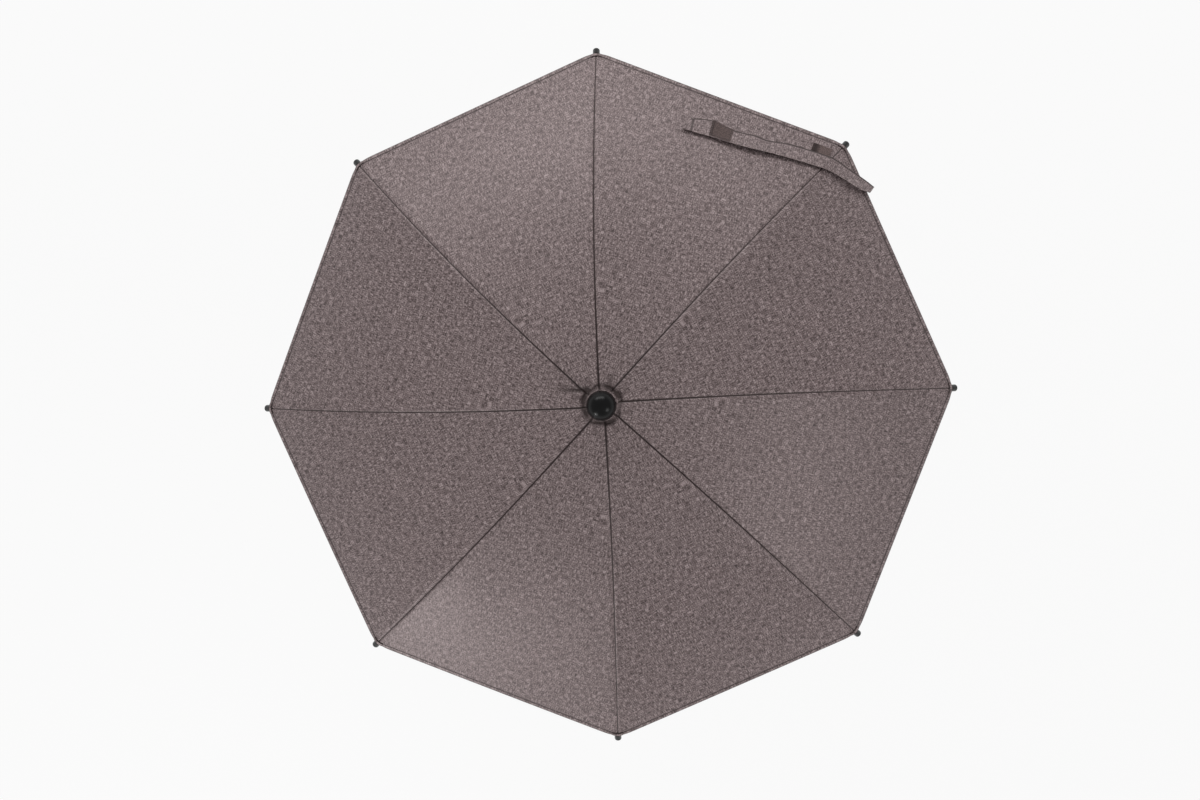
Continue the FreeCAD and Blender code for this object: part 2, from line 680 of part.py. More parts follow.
tilt = size("tilt_height")
sleeve_start = tilt + size("knuckle_relief")
upper_start = sleeve_start + 4
upper = new_body("upper_pole")
revolve(upper, [
    (pole - size("pole_wall"), upper_start),
    (pole, upper_start),
    (pole, crown + size("pole_top")),
    (pole - size("pole_wall"), crown + size("pole_top")),
])
pole_slot = draw_outline(new_sketch(upper, "XZ_Plane", size("catch_azimuth").number), [
    (as_size(2), catch_bottom + 1),
    (pole + 1, catch_bottom + 1),
    (pole + 1, catch_top + 1),
    (as_size(2), catch_top + 1),
])
pocket(upper, pole_slot, size("catch_thickness") + 0.4)

# Tilt knuckle: a tongue on the lower pole between the two cheeks of the head, on one bolt

knuckle = size("knuckle_radius")
sleeve = size("sleeve_radius")
tongue = size("tongue_thickness")
base_top = tilt - size("knuckle_relief")
base_foot = base_top - size("sleeve_length")
base = new_body("tilt_base")
pad(base, draw_circle(new_sketch(base, "XZ_Plane"), ZERO, tilt, knuckle), tongue, both=True)
neck = draw_outline(new_sketch(base, "XZ_Plane"), [
    (-sleeve, base_top - 4),
    (sleeve, base_top - 4),
    (sleeve, tilt),
    (-sleeve, tilt),
])
pad(base, neck, tongue, both=True)
pad(base, draw_circle(new_sketch(base, "XY_Plane", 0.0, base_foot), ZERO, ZERO, sleeve), size("sleeve_length"))
pocket(base, draw_circle(new_sketch(base, "XZ_Plane"), ZERO, tilt, size("bolt_radius")))
lower_top = base_top - 6
base_bore = draw_circle(new_sketch(base, "XY_Plane", 0.0, lower_top), ZERO, ZERO, pole)
pocket(base, base_bore, size("sleeve_length"), both=False)

inside = tongue / 2 + size("cheek_gap")
head = new_body("tilt_head")
plain_face = inside + size("cheek_thickness")
button_face = inside + size("button_cheek")
cheek_plane = new_sketch(head, "XZ_Plane", 0.0, plain_face)
pad(head, draw_circle(cheek_plane, ZERO, tilt, knuckle), plain_face + button_face).Reversed = True
block = draw_outline(new_sketch(head, "XZ_Plane"), [
    (-sleeve, tilt),
    (sleeve, tilt),
    (sleeve, sleeve_start + 4),
    (-sleeve, sleeve_start + 4),
])
pad(head, block, plain_face * 2, both=True)
head_sleeve = draw_circle(new_sketch(head, "XY_Plane", 0.0, sleeve_start), ZERO, ZERO, sleeve)
pad(head, head_sleeve, size("sleeve_length") + 4)
pocket(head, draw_circle(new_sketch(head, "XZ_Plane"), ZERO, tilt, size("knuckle_relief")), inside * 2)
pocket(head, draw_circle(new_sketch(head, "XZ_Plane"), ZERO, tilt, size("bolt_radius") + 0.1))
button_plane = new_sketch(head, "XZ_Plane", 0.0, -size("button_floor"))
pocket(head, draw_circle(button_plane, ZERO, tilt, size("button_bore")), size("button_cheek"), False)
head_bore = draw_circle(new_sketch(head, "XY_Plane", 0.0, upper_start), ZERO, ZERO, pole)
pocket(head, head_bore, size("sleeve_length") + 4, both=False, flip=True)

bolt_shank = primitive(
    "Cylinder", "tilt_bolt_shank", Radius=size("bolt_radius"), Height=plain_face + size("button_floor"),
)
place(bolt_shank, vector(0, -plain_face, tilt), ALONG_Y)
bolt_head = primitive(
    "Cylinder", "tilt_bolt_head", Radius=size("bolt_head_radius"), Height=size("bolt_head_height"),
)
place(bolt_head, vector(0, -plain_face - size("bolt_head_height") - 0.1, tilt), ALONG_Y)
bolt_neck = primitive("Cylinder", "tilt_bolt_neck", Radius=size("bolt_radius"), Height=1)
place(bolt_neck, vector(0, -plain_face - 0.6, tilt), ALONG_Y)
subparts["tilt_bolt"] = fused("tilt_bolt", [bolt_shank, bolt_head, bolt_neck])

button = primitive(
    "Cylinder", "tilt_button",
    Radius=size("button_radius"), Height=size("button_outer") - size("button_inner"),
)
place(button, vector(0, size("button_inner"), tilt), ALONG_Y)
subparts["tilt_button"] = button

wire_radius = size("spring_wire").number / 2
spring_start = size("button_floor").number + wire_radius + 0.1
spring_end = size("button_inner").number - wire_radius - 0.1
pitch = (spring_end - spring_start) / size("spring_turns").number
helix = Part.makeHelix(pitch, spring_end - spring_start, size("spring_radius").number)
wire_start = FreeCAD.Vector(size("spring_radius").number, 0, 0)
wire_circle = Part.Wire(Part.makeCircle(wire_radius, wire_start, FreeCAD.Vector(0, 1, 0)))
spring = doc.addObject("Part::Feature", "tilt_spring")
spring.Shape = Part.Wire(helix.Edges).makePipeShell([wire_circle], True, True)
place(spring, FreeCAD.Vector(0, spring_start, tilt.number), ALONG_Y)
subparts["tilt_spring"] = spring

# Lower pole: aluminium tube from the clamp's socket to the tilt knuckle

lower = new_body("lower_pole")
lower_start = size("socket_floor") + 0.3
revolve(lower, [
    (pole - size("pole_wall"), lower_start),
    (pole, lower_start),
    (pole, lower_top),
    (pole - size("pole_wall"), lower_top),
])

# Clamp: bracket that hangs over the pram's tube, its jaw is pushed by a knob on a screw

tube = size("tube_radius")
seat = tube + size("pad_thickness")
lip = size("clamp_lip")
width = size("clamp_width")
left = -size("clamp_left")
right = size("clamp_right")
top = size("clamp_top")
floor = -size("clamp_foot")
ceiling = size("clamp_ceiling")
leg = right - size("clamp_leg")
clamp = new_body("clamp_body")
side_view = draw_outline(new_sketch(clamp, "XZ_Plane"), [
    (left, floor),
    (-lip, floor),
    (-lip, ceiling),
    (leg, ceiling),
    (leg, floor),
    (right, floor),
    (right, top),
    (left, top),
])
bracket = pad(clamp, side_view, width, both=True)
doc.recompute()
outer_corners = [
    f"Edge{index}"
    for index, edge in enumerate(bracket.Shape.Edges, 1)
    if abs(edge.BoundBox.YLength - width.number) < 0.01
    and (
        abs(edge.CenterOfMass.x - left.number) < 0.01
        or abs(edge.CenterOfMass.x - right.number) < 0.01
    )
]
rounded = clamp.newObject("PartDesign::Fillet", "clamp_rounded")
rounded.Base = (bracket, outer_corners)
bind(rounded, Radius=size("clamp_corner"))
socket_plane = new_sketch(clamp, "XY_Plane", 0.0, top - 1)
pad(clamp, draw_circle(socket_plane, ZERO, ZERO, size("socket_radius")), size("socket_top") - top + 1)
pocket(clamp, draw_circle(new_sketch(clamp, "XZ_Plane"), ZERO, ZERO, seat))
screw_plane = new_sketch(clamp, "YZ_Plane")
pocket(clamp, draw_circle(screw_plane, ZERO, ZERO, size("screw_radius") + 0.05), None, False, True)
socket_bore_plane = new_sketch(clamp, "XY_Plane", 0.0, size("socket_floor"))
socket_bore = draw_circle(socket_bore_plane, ZERO, ZERO, pole + size("socket_clearance"))
pocket(clamp, socket_bore, None, False, True)

jaw = new_body("clamp_jaw")
jaw_top = ceiling - size("jaw_clearance")
jaw_back = size("jaw_back")
jaw_view = draw_outline(new_sketch(jaw, "XZ_Plane"), [
    (lip, floor + 1),
    (jaw_back, floor + 1),
    (jaw_back, jaw_top),
    (lip, jaw_top),
])
pad(jaw, jaw_view, width - 1, both=True)
pocket(jaw, draw_circle(new_sketch(jaw, "XZ_Plane"), ZERO, ZERO, seat))
screw_seat = draw_circle(
    new_sketch(jaw, "YZ_Plane", 0.0, size("screw_start") - 0.2), ZERO, ZERO, size("screw_radius") + 0.05
)
pocket(jaw, screw_seat, None, False, True)

# Rubber pads: curved liners bonded in the bracket's seat and in the jaw

for label, middle_angle, length in (("fixed_pad", 180.0, width), ("moving_pad", 0.0, width - 1)):
    outer = primitive(
        "Cylinder", f"{label}_outer", Radius=seat, Height=length, Angle=size("pad_angle"),
    )
    start_angle = middle_angle - size("pad_angle").number / 2
    about_tube = ALONG_Y.multiply(FreeCAD.Rotation(UP, start_angle))
    place(outer, vector(0, length / -2, 0), about_tube)
    inner = primitive("Cylinder", f"{label}_bore", Radius=tube, Height=length + 2)
    place(inner, vector(0, length / -2 - 1, 0), ALONG_Y)
    subparts[label] = cut(label, outer, inner)

screw = primitive(
    "Cylinder", "clamp_screw",
    Radius=size("screw_radius"), Height=size("screw_end") - size("screw_start"),
)
place(screw, vector(size("screw_start"), 0, 0), ALONG_X)
subparts["clamp_screw"] = screw

knob = new_body("clamp_knob")
knob_plane = new_sketch(knob, "YZ_Plane", 0.0, size("knob_start"))
knob_length = size("knob_end") - size("knob_start")
pad(knob, draw_circle(knob_plane, ZERO, ZERO, size("knob_radius")), knob_length)
knob_bore = draw_circle(new_sketch(knob, "YZ_Plane", 0.0, size("screw_end")), ZERO, ZERO, size("screw_radius"))
pocket(knob, knob_bore, knob_length, both=False)
scallop_plane = new_sketch(knob, "YZ_Plane")
scallop_centre = size("knob_radius") + size("knob_scallop") / 2
scallop = pocket(knob, draw_circle(scallop_plane, scallop_centre, ZERO, size("knob_scallop")))
repeat_round(knob, scallop, 6, "X_Axis")

# Check every piece, then write it

doc.recompute()
for thing in doc.Objects:
    if "Invalid" in thing.State or "Error" in thing.State:
        raise RuntimeError(f"{thing.Name} did not rebuild: {thing.State}")
os.makedirs("parts", exist_ok=True)
for label, thing in subparts.items():
    thing.Label = label
    if thing.Shape.isNull() or not thing.Shape.isValid():
        raise RuntimeError(f"{label} is not a valid solid")
    thing.Shape.exportStep(f"parts/{label}.step")
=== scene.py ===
import math

import bpy
from mathutils import Matrix, Vector, noise


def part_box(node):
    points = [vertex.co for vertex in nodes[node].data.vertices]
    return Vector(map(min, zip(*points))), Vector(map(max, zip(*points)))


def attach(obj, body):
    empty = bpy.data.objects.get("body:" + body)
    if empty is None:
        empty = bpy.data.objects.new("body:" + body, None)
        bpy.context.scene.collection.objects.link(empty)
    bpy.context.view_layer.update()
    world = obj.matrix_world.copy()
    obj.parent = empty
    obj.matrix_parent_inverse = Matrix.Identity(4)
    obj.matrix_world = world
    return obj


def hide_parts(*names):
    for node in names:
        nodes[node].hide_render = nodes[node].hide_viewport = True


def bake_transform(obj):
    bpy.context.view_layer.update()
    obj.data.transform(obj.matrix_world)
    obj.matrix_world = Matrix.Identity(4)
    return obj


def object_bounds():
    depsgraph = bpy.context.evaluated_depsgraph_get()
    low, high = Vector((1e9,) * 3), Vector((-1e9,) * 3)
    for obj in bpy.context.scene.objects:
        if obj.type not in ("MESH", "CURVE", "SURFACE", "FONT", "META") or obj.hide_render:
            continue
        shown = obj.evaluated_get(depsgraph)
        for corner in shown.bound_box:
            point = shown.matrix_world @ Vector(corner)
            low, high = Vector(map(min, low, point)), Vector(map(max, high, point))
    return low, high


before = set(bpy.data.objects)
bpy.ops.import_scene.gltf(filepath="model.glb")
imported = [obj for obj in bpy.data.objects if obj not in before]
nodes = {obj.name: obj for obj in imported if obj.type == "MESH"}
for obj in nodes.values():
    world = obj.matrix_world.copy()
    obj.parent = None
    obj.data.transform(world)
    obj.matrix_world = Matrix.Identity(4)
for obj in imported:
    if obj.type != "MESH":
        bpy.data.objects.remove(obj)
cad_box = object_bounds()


# Clamp bracket, jaw and knob: the bracket grips the pram's frame tube, the jaw slides in the bracket and the knob
# drives the jaw. Black nylon, each moulded in one shot, with the fine spark-eroded grain of the mould.

def linear(hex_colour):
    """An sRGB hex colour as linear red, green, blue and alpha."""
    shares = [int(hex_colour[at:at + 2], 16) / 255 for at in (1, 3, 5)]
    return [s / 12.92 if s <= 0.04045 else ((s + 0.055) / 1.055) ** 2.4 for s in shares] + [1.0]


def add_node(tree, kind, inputs=None, stops=(), **settings):
    """Adds a node with its settings; an input is a value or an output to link, a stop a position and colour or grey."""
    made = tree.nodes.new(kind)
    for name, value in settings.items():
        setattr(made, name, value)
    for name, value in (inputs or {}).items():
        if isinstance(value, bpy.types.NodeSocket):
            tree.links.new(value, made.inputs[name])
        else:
            made.inputs[name].default_value = value
    for spare in range(len(stops) - 2):
        made.color_ramp.elements.new(0.5)
    for at, (position, colour) in enumerate(stops):
        made.color_ramp.elements[at].position = position
        made.color_ramp.elements[at].color = linear(colour) if isinstance(colour, str) else [colour] * 3 + [1.0]
    return made


def new_material(name, **constants):
    """A material, its node tree and its shader, with what is the same all over set on the shader itself."""
    material = bpy.data.materials.new(name)
    material.use_nodes = True
    shader = material.node_tree.nodes["Principled BSDF"]
    for socket, value in constants.items():
        shader.inputs[socket.replace("_", " ")].default_value = value
    return material, material.node_tree, shader


def link(tree, shader, **outputs):
    """Feeds what changes from place to place into the shader."""
    for socket, output in outputs.items():
        tree.links.new(output, shader.inputs[socket.replace("_", " ")])


def dress(material, *names):
    """Gives CAD nodes their finish."""
    for name in names:
        mesh = nodes[name].data
        mesh.materials.clear()
        mesh.materials.append(material)


# Moulded nylon: a dry, even black whose 0.7 mm grain breaks up the light, with faint flow marks.
nylon, tree, shader = new_material("moulded_black_nylon", IOR=1.53)
place = add_node(tree, "ShaderNodeTexCoord").outputs["Object"]
grain = add_node(tree, "ShaderNodeTexNoise", {"Vector": place, "Scale": 1 / 0.0007, "Detail": 3.0}).outputs["Fac"]
flow = add_node(tree, "ShaderNodeTexNoise", {"Vector": place, "Scale": 1 / 0.014, "Detail": 2.0}).outputs["Fac"]
tone = add_node(tree, "ShaderNodeValToRGB", {"Fac": flow}, stops=[(0.3, "#171718"), (0.7, "#232325")])
dull = add_node(tree, "ShaderNodeMapRange", {"Value": grain, "To Min": 0.42, "To Max": 0.66})
soft_edge = add_node(tree, "ShaderNodeBevel", {"Radius": 0.0005}, samples=4)
pits = add_node(tree, "ShaderNodeBump", {
    "Strength": 0.35, "Distance": 0.00012, "Height": grain, "Normal": soft_edge.outputs["Normal"]})
link(tree, shader, Base_Color=tone.outputs["Color"], Roughness=dull.outputs["Result"], Normal=pits.outputs["Normal"])
dress(nylon, "clamp_body", "clamp_jaw", "clamp_knob")


# Clamp pads: two curved rubber liners that keep the bracket and the jaw from marking the tube.
# Moulded black rubber, glued in, with grooves along the tube every 2 mm.

# Moulded rubber: deeper and duller than the nylon, with a dusty bloom and the grooves' shadow lines.
rubber, tree, shader = new_material("moulded_black_rubber", IOR=1.52)
place = add_node(tree, "ShaderNodeTexCoord").outputs["Object"]
bloom = add_node(tree, "ShaderNodeTexNoise", {"Vector": place, "Scale": 1 / 0.003, "Detail": 4.0}).outputs["Fac"]
groove = add_node(
    tree, "ShaderNodeTexWave", {"Vector": place, "Scale": 0.314 / 0.002}, bands_direction="Z").outputs["Fac"]
tone = add_node(tree, "ShaderNodeValToRGB", {"Fac": bloom}, stops=[(0.35, "#121212"), (0.75, "#242423")])
dull = add_node(tree, "ShaderNodeMapRange", {"Value": bloom, "To Min": 0.72, "To Max": 0.95})
ridges = add_node(tree, "ShaderNodeBump", {"Strength": 0.8, "Distance": 0.0004, "Height": groove})
link(tree, shader, Base_Color=tone.outputs["Color"], Roughness=dull.outputs["Result"], Normal=ridges.outputs["Normal"])
dress(rubber, "fixed_pad", "moving_pad")


# Clamp screw: an 8 mm screw with a 2 mm lead that pushes the jaw. Zinc-plated steel with a rolled thread, pressed
# into the knob. The thread is a ridge wound on a core.

# Zinc-plated steel: bright, a little blue, with soft blotches from the bath.
zinc, tree, shader = new_material("zinc_plated_steel", Metallic=1.0)
place = add_node(tree, "ShaderNodeTexCoord").outputs["Object"]
bath = add_node(tree, "ShaderNodeTexNoise", {"Vector": place, "Scale": 1 / 0.004, "Detail": 4.0}).outputs["Fac"]
tone = add_node(tree, "ShaderNodeValToRGB", {"Fac": bath}, stops=[(0.3, "#a9adb3"), (0.7, "#c9ccd0")])
gloss = add_node(tree, "ShaderNodeMapRange", {"Value": bath, "To Min": 0.2, "To Max": 0.4})
link(tree, shader, Base_Color=tone.outputs["Color"], Roughness=gloss.outputs["Result"])

thread_tree = bpy.data.node_groups.new("screw_thread", "GeometryNodeTree")
for socket, default in (("Core", 0.0033), ("Ridge", 0.0007), ("Lead", 0.002), ("Length", 0.036)):
    thread_tree.interface.new_socket(socket, in_out="INPUT", socket_type="NodeSocketFloat").default_value = default
thread_tree.interface.new_socket("Start", in_out="INPUT", socket_type="NodeSocketVector")
thread_tree.interface.new_socket("Finish", in_out="INPUT", socket_type="NodeSocketMaterial")
thread_tree.interface.new_socket("Geometry", in_out="OUTPUT", socket_type="NodeSocketGeometry")
given = add_node(thread_tree, "NodeGroupInput").outputs
turns = add_node(thread_tree, "ShaderNodeMath", {0: given["Length"], 1: given["Lead"]}, operation="DIVIDE")
helix = add_node(thread_tree, "GeometryNodeCurveSpiral", {
    "Resolution": 28, "Rotations": turns.outputs[0], "Start Radius": given["Core"], "End Radius": given["Core"],
    "Height": given["Length"]})
bead = add_node(thread_tree, "GeometryNodeCurvePrimitiveCircle", {"Resolution": 6, "Radius": given["Ridge"]})
wound = add_node(thread_tree, "GeometryNodeCurveToMesh", {
    "Curve": helix.outputs["Curve"], "Profile Curve": bead.outputs["Curve"], "Fill Caps": True})
core = add_node(thread_tree, "GeometryNodeMeshCylinder", {
    "Vertices": 40, "Radius": given["Core"], "Depth": given["Length"]})
half_length = add_node(thread_tree, "ShaderNodeMath", {0: given["Length"], 1: 0.5}, operation="MULTIPLY")
middle = add_node(thread_tree, "ShaderNodeCombineXYZ", {"Z": half_length.outputs[0]})
raised = add_node(thread_tree, "GeometryNodeTransform", {
    "Geometry": core.outputs["Mesh"], "Translation": middle.outputs["Vector"]})
both = add_node(thread_tree, "GeometryNodeJoinGeometry")
thread_tree.links.new(raised.outputs["Geometry"], both.inputs["Geometry"])
thread_tree.links.new(wound.outputs["Mesh"], both.inputs["Geometry"])
lying = add_node(thread_tree, "GeometryNodeTransform", {
    "Geometry": both.outputs["Geometry"], "Translation": given["Start"], "Rotation": (0.0, math.radians(90), 0.0)})
smooth = add_node(thread_tree, "GeometryNodeSetShadeSmooth", {"Geometry": lying.outputs["Geometry"]})
real = add_node(thread_tree, "GeometryNodeRealizeInstances", {"Geometry": smooth.outputs["Geometry"]})
plated = add_node(thread_tree, "GeometryNodeSetMaterial", {
    "Geometry": real.outputs["Geometry"], "Material": given["Finish"]})
add_node(thread_tree, "NodeGroupOutput", {"Geometry": plated.outputs["Geometry"]})


def made_by(tree, name, values, mesh=None):
    """A plain mesh object from a node tree: values are the tree's named inputs."""
    seed = mesh or bpy.data.meshes.new(name + "_seed")
    holder = bpy.data.objects.new(name + "_seed", seed)
    bpy.context.collection.objects.link(holder)
    modifier = holder.modifiers.new("making", "NODES")
    modifier.node_group = tree
    for item in tree.interface.items_tree:
        if item.in_out == "INPUT" and item.name in values:
            modifier[item.identifier] = values[item.name]
    seen = holder.evaluated_get(bpy.context.evaluated_depsgraph_get())
    result = bpy.data.meshes.new_from_object(seen)
    bpy.data.objects.remove(holder)
    bpy.data.meshes.remove(seed)
    result.name = name
    piece = bpy.data.objects.new(name, result)
    bpy.context.collection.objects.link(piece)
    return piece


low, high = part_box("clamp_screw")
screw = made_by(thread_tree, "threaded_screw", {
    "Length": high.x - low.x, "Start": (low.x, (low.y + high.y) / 2, (low.z + high.z) / 2), "Finish": zinc})
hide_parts("clamp_screw")
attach(screw, "screw")


# Lower and upper pole: two drawn aluminium tubes, joined by the tilt knuckle. Satin anodised, with the drawing
# lines still running along them.

# Anodised aluminium: soft grey metal with long fine lines and a slight change of gloss along the tube.
aluminium, tree, shader = new_material("anodised_aluminium", Metallic=1.0)
place = add_node(tree, "ShaderNodeTexCoord").outputs["Object"]
along = add_node(tree, "ShaderNodeMapping", {"Vector": place, "Scale": (1 / 0.0006, 1 / 0.0006, 1 / 0.06)})
lines = add_node(tree, "ShaderNodeTexNoise", {
    "Vector": along.outputs["Vector"], "Scale": 1.0, "Detail": 3.0}).outputs["Fac"]
tone = add_node(tree, "ShaderNodeValToRGB", {"Fac": lines}, stops=[(0.3, "#a2a4a7"), (0.7, "#bcbec0")])
satin = add_node(tree, "ShaderNodeMapRange", {"Value": lines, "To Min": 0.28, "To Max": 0.46})
drawn = add_node(tree, "ShaderNodeBump", {"Strength": 0.2, "Distance": 0.00004, "Height": lines})
link(tree, shader, Base_Color=tone.outputs["Color"], Roughness=satin.outputs["Result"], Normal=drawn.outputs["Normal"])
dress(aluminium, "lower_pole", "upper_pole")


# Tilt knuckle: a fork and a tongue of nylon on a steel bolt, with a push button and a coil spring that hold the
# angle. The button is a lighter plastic, so that it is found by eye.
dress(nylon, "tilt_base", "tilt_head")
dress(zinc, "tilt_bolt")

# Moulded grey ABS: mid grey, half matt, with a fine even grain.
button_plastic, tree, shader = new_material("moulded_grey_abs", IOR=1.54)
place = add_node(tree, "ShaderNodeTexCoord").outputs["Object"]
grain = add_node(tree, "ShaderNodeTexNoise", {"Vector": place, "Scale": 1 / 0.0005, "Detail": 2.0}).outputs["Fac"]
tone = add_node(tree, "ShaderNodeValToRGB", {"Fac": grain}, stops=[(0.3, "#66696c"), (0.7, "#737679")])
dull = add_node(tree, "ShaderNodeMapRange", {"Value": grain, "To Min": 0.35, "To Max": 0.5})
pits = add_node(tree, "ShaderNodeBump", {"Strength": 0.2, "Distance": 0.00006, "Height": grain})
link(tree, shader, Base_Color=tone.outputs["Color"], Roughness=dull.outputs["Result"], Normal=pits.outputs["Normal"])
dress(button_plastic, "tilt_button")

# The button's coil spring, wound in the space of the CAD spring between the fork and the button. In use its coils
# close up as the button goes in; here it is made at rest only.
SPRING_WIRE, SPRING_TURNS, SPRING_RINGS, SPRING_ROUND = 0.00035, 2.5, 100, 10
low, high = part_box("tilt_spring")
spring_middle, spring_run = (low + high) / 2, high.y - low.y - 2 * SPRING_WIRE
coil_radius = (high.z - low.z) / 2 - SPRING_WIRE
points, faces = [], []
for ring in range(SPRING_RINGS + 1):
    turned = 2 * math.pi * SPRING_TURNS * ring / SPRING_RINGS
    outward, along = Vector((math.cos(turned), 0.0, math.sin(turned))), Vector((0.0, 1.0, 0.0))
    centre = spring_middle + coil_radius * outward + spring_run * (ring / SPRING_RINGS - 0.5) * along
    for step in range(SPRING_ROUND):
        angle = 2 * math.pi * step / SPRING_ROUND
        points.append(centre + SPRING_WIRE * (math.cos(angle) * outward + math.sin(angle) * along))
        here, there = ring * SPRING_ROUND + step, ring * SPRING_ROUND + (step + 1) % SPRING_ROUND
        if ring < SPRING_RINGS:
            faces.append((here, there, there + SPRING_ROUND, here + SPRING_ROUND))
faces.append(list(range(SPRING_ROUND))[::-1])
faces.append([SPRING_RINGS * SPRING_ROUND + step for step in range(SPRING_ROUND)])
spring_mesh = bpy.data.meshes.new("button_spring")
spring_mesh.from_pydata(points, [], faces)
spring_mesh.shade_smooth()
spring_mesh.materials.append(zinc)
spring = bpy.data.objects.new("button_spring", spring_mesh)
bpy.context.collection.objects.link(spring)
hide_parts("tilt_spring")
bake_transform(spring)


# Runner, its catch and the crown notch: the slotted nylon collars that carry the stretchers and the ribs on rings
# of wire, and the sprung steel tongue that holds the runner up.
dress(nylon, "runner", "crown_notch")
dress(zinc, "runner_wire", "crown_wire", "runner_catch")


# Ribs and stretchers: bent rods and pressed channel bars of steel, joined by riveted clips, that spread the canopy.
# Black stove lacquer.

# Black lacquer on steel: a thin glossy skin with a fine orange peel and small dull rubs.
lacquer, tree, shader = new_material("black_lacquered_steel", IOR=1.5, Coat_Weight=0.35, Coat_Roughness=0.12)
place = add_node(tree, "ShaderNodeTexCoord").outputs["Object"]
peel = add_node(tree, "ShaderNodeTexNoise", {"Vector": place, "Scale": 1 / 0.0009, "Detail": 2.0}).outputs["Fac"]
rub = add_node(tree, "ShaderNodeTexNoise", {"Vector": place, "Scale": 1 / 0.02, "Detail": 5.0}).outputs["Fac"]
tone = add_node(tree, "ShaderNodeValToRGB", {"Fac": rub}, stops=[(0.45, "#101011"), (0.8, "#1f1f20")])
wear_and_shade = add_node(tree, "ShaderNodeMapRange", {"Value": rub, "To Min": 0.22, "To Max": 0.5})
skin = add_node(tree, "ShaderNodeBump", {"Strength": 0.15, "Distance": 0.00008, "Height": peel})
link(tree, shader, Base_Color=tone.outputs["Color"], Roughness=wear_and_shade.outputs["Result"], Normal=skin.outputs["Normal"])
for number in range(1, 9):
    dress(lacquer, f"rib_{number}", f"stretcher_{number}")


# Canopy: eight gores of woven polyester sewn together over the ribs into one stretched sheet, curved along the ribs
# and nearly straight across. Each gore is made in two halves, because it folds at its middle line.

# Lengths are in mm from here on. A corner is how far out along a rib the octagon through a point of the cloth lies.
MM = 0.001
HALF_GORE = math.radians(22.5)
NARROW = math.cos(HALF_GORE)
# Over a rib the cloth is an arc of radius COVER. At a gore's middle line it is an arc that ends higher at the hem.
BEND_X, BEND_Z = -54.0, 23.0244
COVER = 703.4
MIDDLE_FROM, MIDDLE_BEND, MIDDLE_RAISE = 6.0, 690.0, 4.0
# Corners where the collar, the crown part and the outer part of a half begin, and where the cloth ends.
HOLE, COLLAR, SPLIT, HEM = 10.0, 23.3, 217.0, 346.35
# From here on the canopy's own corners are rounded off, by at most CORNER_CUT.
CORNER_FROM, CORNER_CUT = 340.5, 2.6
# The cloth's thickness, what its slope adds straight down, and the second layer at hems and seam allowances.
CLOTH, SLOPED, SECOND_LAYER = 0.6, 1.15, 0.5
# The hem: its width, its rolled edge, the dip along its stitches, and how far the stitches stand up.
HEM_WIDTH, ROLL_DROP, ROLL_WIDTH = 3.6, 0.8, 1.2
STITCH_DROP, STITCH_WIDTH, STITCH_RISE = 0.4, 0.6, 0.3
# The stretched hem bows in at a gore's middle by this share.
DRAWN_IN = 0.0026
# The seams: their shift to one side of the rib, the dip along them, the ridge of the turned allowance, where the
# allowance ends, and how the painted shade line in each seam's groove narrows towards the hem.
SHIFT_AT_CROWN, SHIFT_BOW, SHIFT_MOST = 2, 2.9, 0.12
SEAM_PINCH, SEAM_REACH = 1.0, 0.8
RIDGE_RISE, RIDGE_AT, RIDGE_WIDTH, ALLOWANCE = 0.3, 2.0, 0.9, 5.0
LINE_AT_CROWN, LINE_GROWTH = 0.95, 0.8
# Slack: height and size of its broad and its fine swells, and how far from the crown and from the hem it is full.
BROAD_HEIGHT, BROAD_SIZE, FINE_HEIGHT, FINE_SIZE = 0.7, 70, 0.2, 19
FULL_FROM_CROWN, FULL_FROM_HEM = 60.0, 30.0
# Marks of a point that is near no seam and no hem.
NO_EDGE = (9.0, 9.0)


def over_rib(radius):
    """Height of the cloth's upper side over a rib."""
    return BEND_Z + math.sqrt(COVER**2 - (radius - BEND_X) ** 2)


run = (HEM - MIDDLE_FROM) * NARROW
fall = over_rib(MIDDLE_FROM) - over_rib(HEM) - MIDDLE_RAISE
chord = math.hypot(run, fall)
depth = math.sqrt(MIDDLE_BEND**2 - chord**2 / 4)
middle_x = (HEM + MIDDLE_FROM) * NARROW / 2 - depth * fall / chord
middle_z = (over_rib(MIDDLE_FROM) + over_rib(HEM) + MIDDLE_RAISE) / 2 - depth * run / chord


# Gathers round the finial: radius of their ring, how far it wavers, half width, strength and drop, in mm.
GATHER_RADIUS, GATHER_WAVER, GATHER_WIDTH, GATHER_STRENGTH, GATHER_DROP = 16.9, 0.7, 2.2, 1.6, 1.8

# Longer soft folds that run out from the crown: two ends in mm, half width and depth.
FOLDS = (((-13.0, 14.0), (-40.0, 14.5), 3.0, 1.3), ((9.0, 19.0), (11.5, 30.0), 3.0, 0.5),
         ((15.0, 9.0), (16.5, 17.0), 2.6, 0.6), ((-16.0, -8.0), (-14.0, -16.0), 2.6, 0.6))


def gather(x, y):
    """How deep the cloth is drawn in round the finial: 0 away from it, up to 1 in a crease. It also sets the painted
    shade in the creases.
    """
    radius, angle = math.hypot(x, y), math.atan2(y, x)
    ring = math.exp(-((radius - GATHER_RADIUS - GATHER_WAVER * math.sin(5 * angle)) / GATHER_WIDTH) ** 2)
    between_ribs = math.sin(4 * angle - 0.2) ** 2
    uneven = 0.72 + 0.28 * math.sin(3 * angle - 0.9)
    depth = GATHER_STRENGTH * ring * (0.55 + 0.45 * between_ribs) * uneven
    for start, end, width, deep in FOLDS:
        a, b, spot = Vector(start), Vector(end), Vector((x, y))
        along = min(1.0, max(0.0, (spot - a).dot(b - a) / (b - a).length_squared))
        depth += deep * (1 - 0.7 * along) * math.exp(-((spot - a.lerp(b, along)).length / width) ** 2)
    return min(1.0, depth)


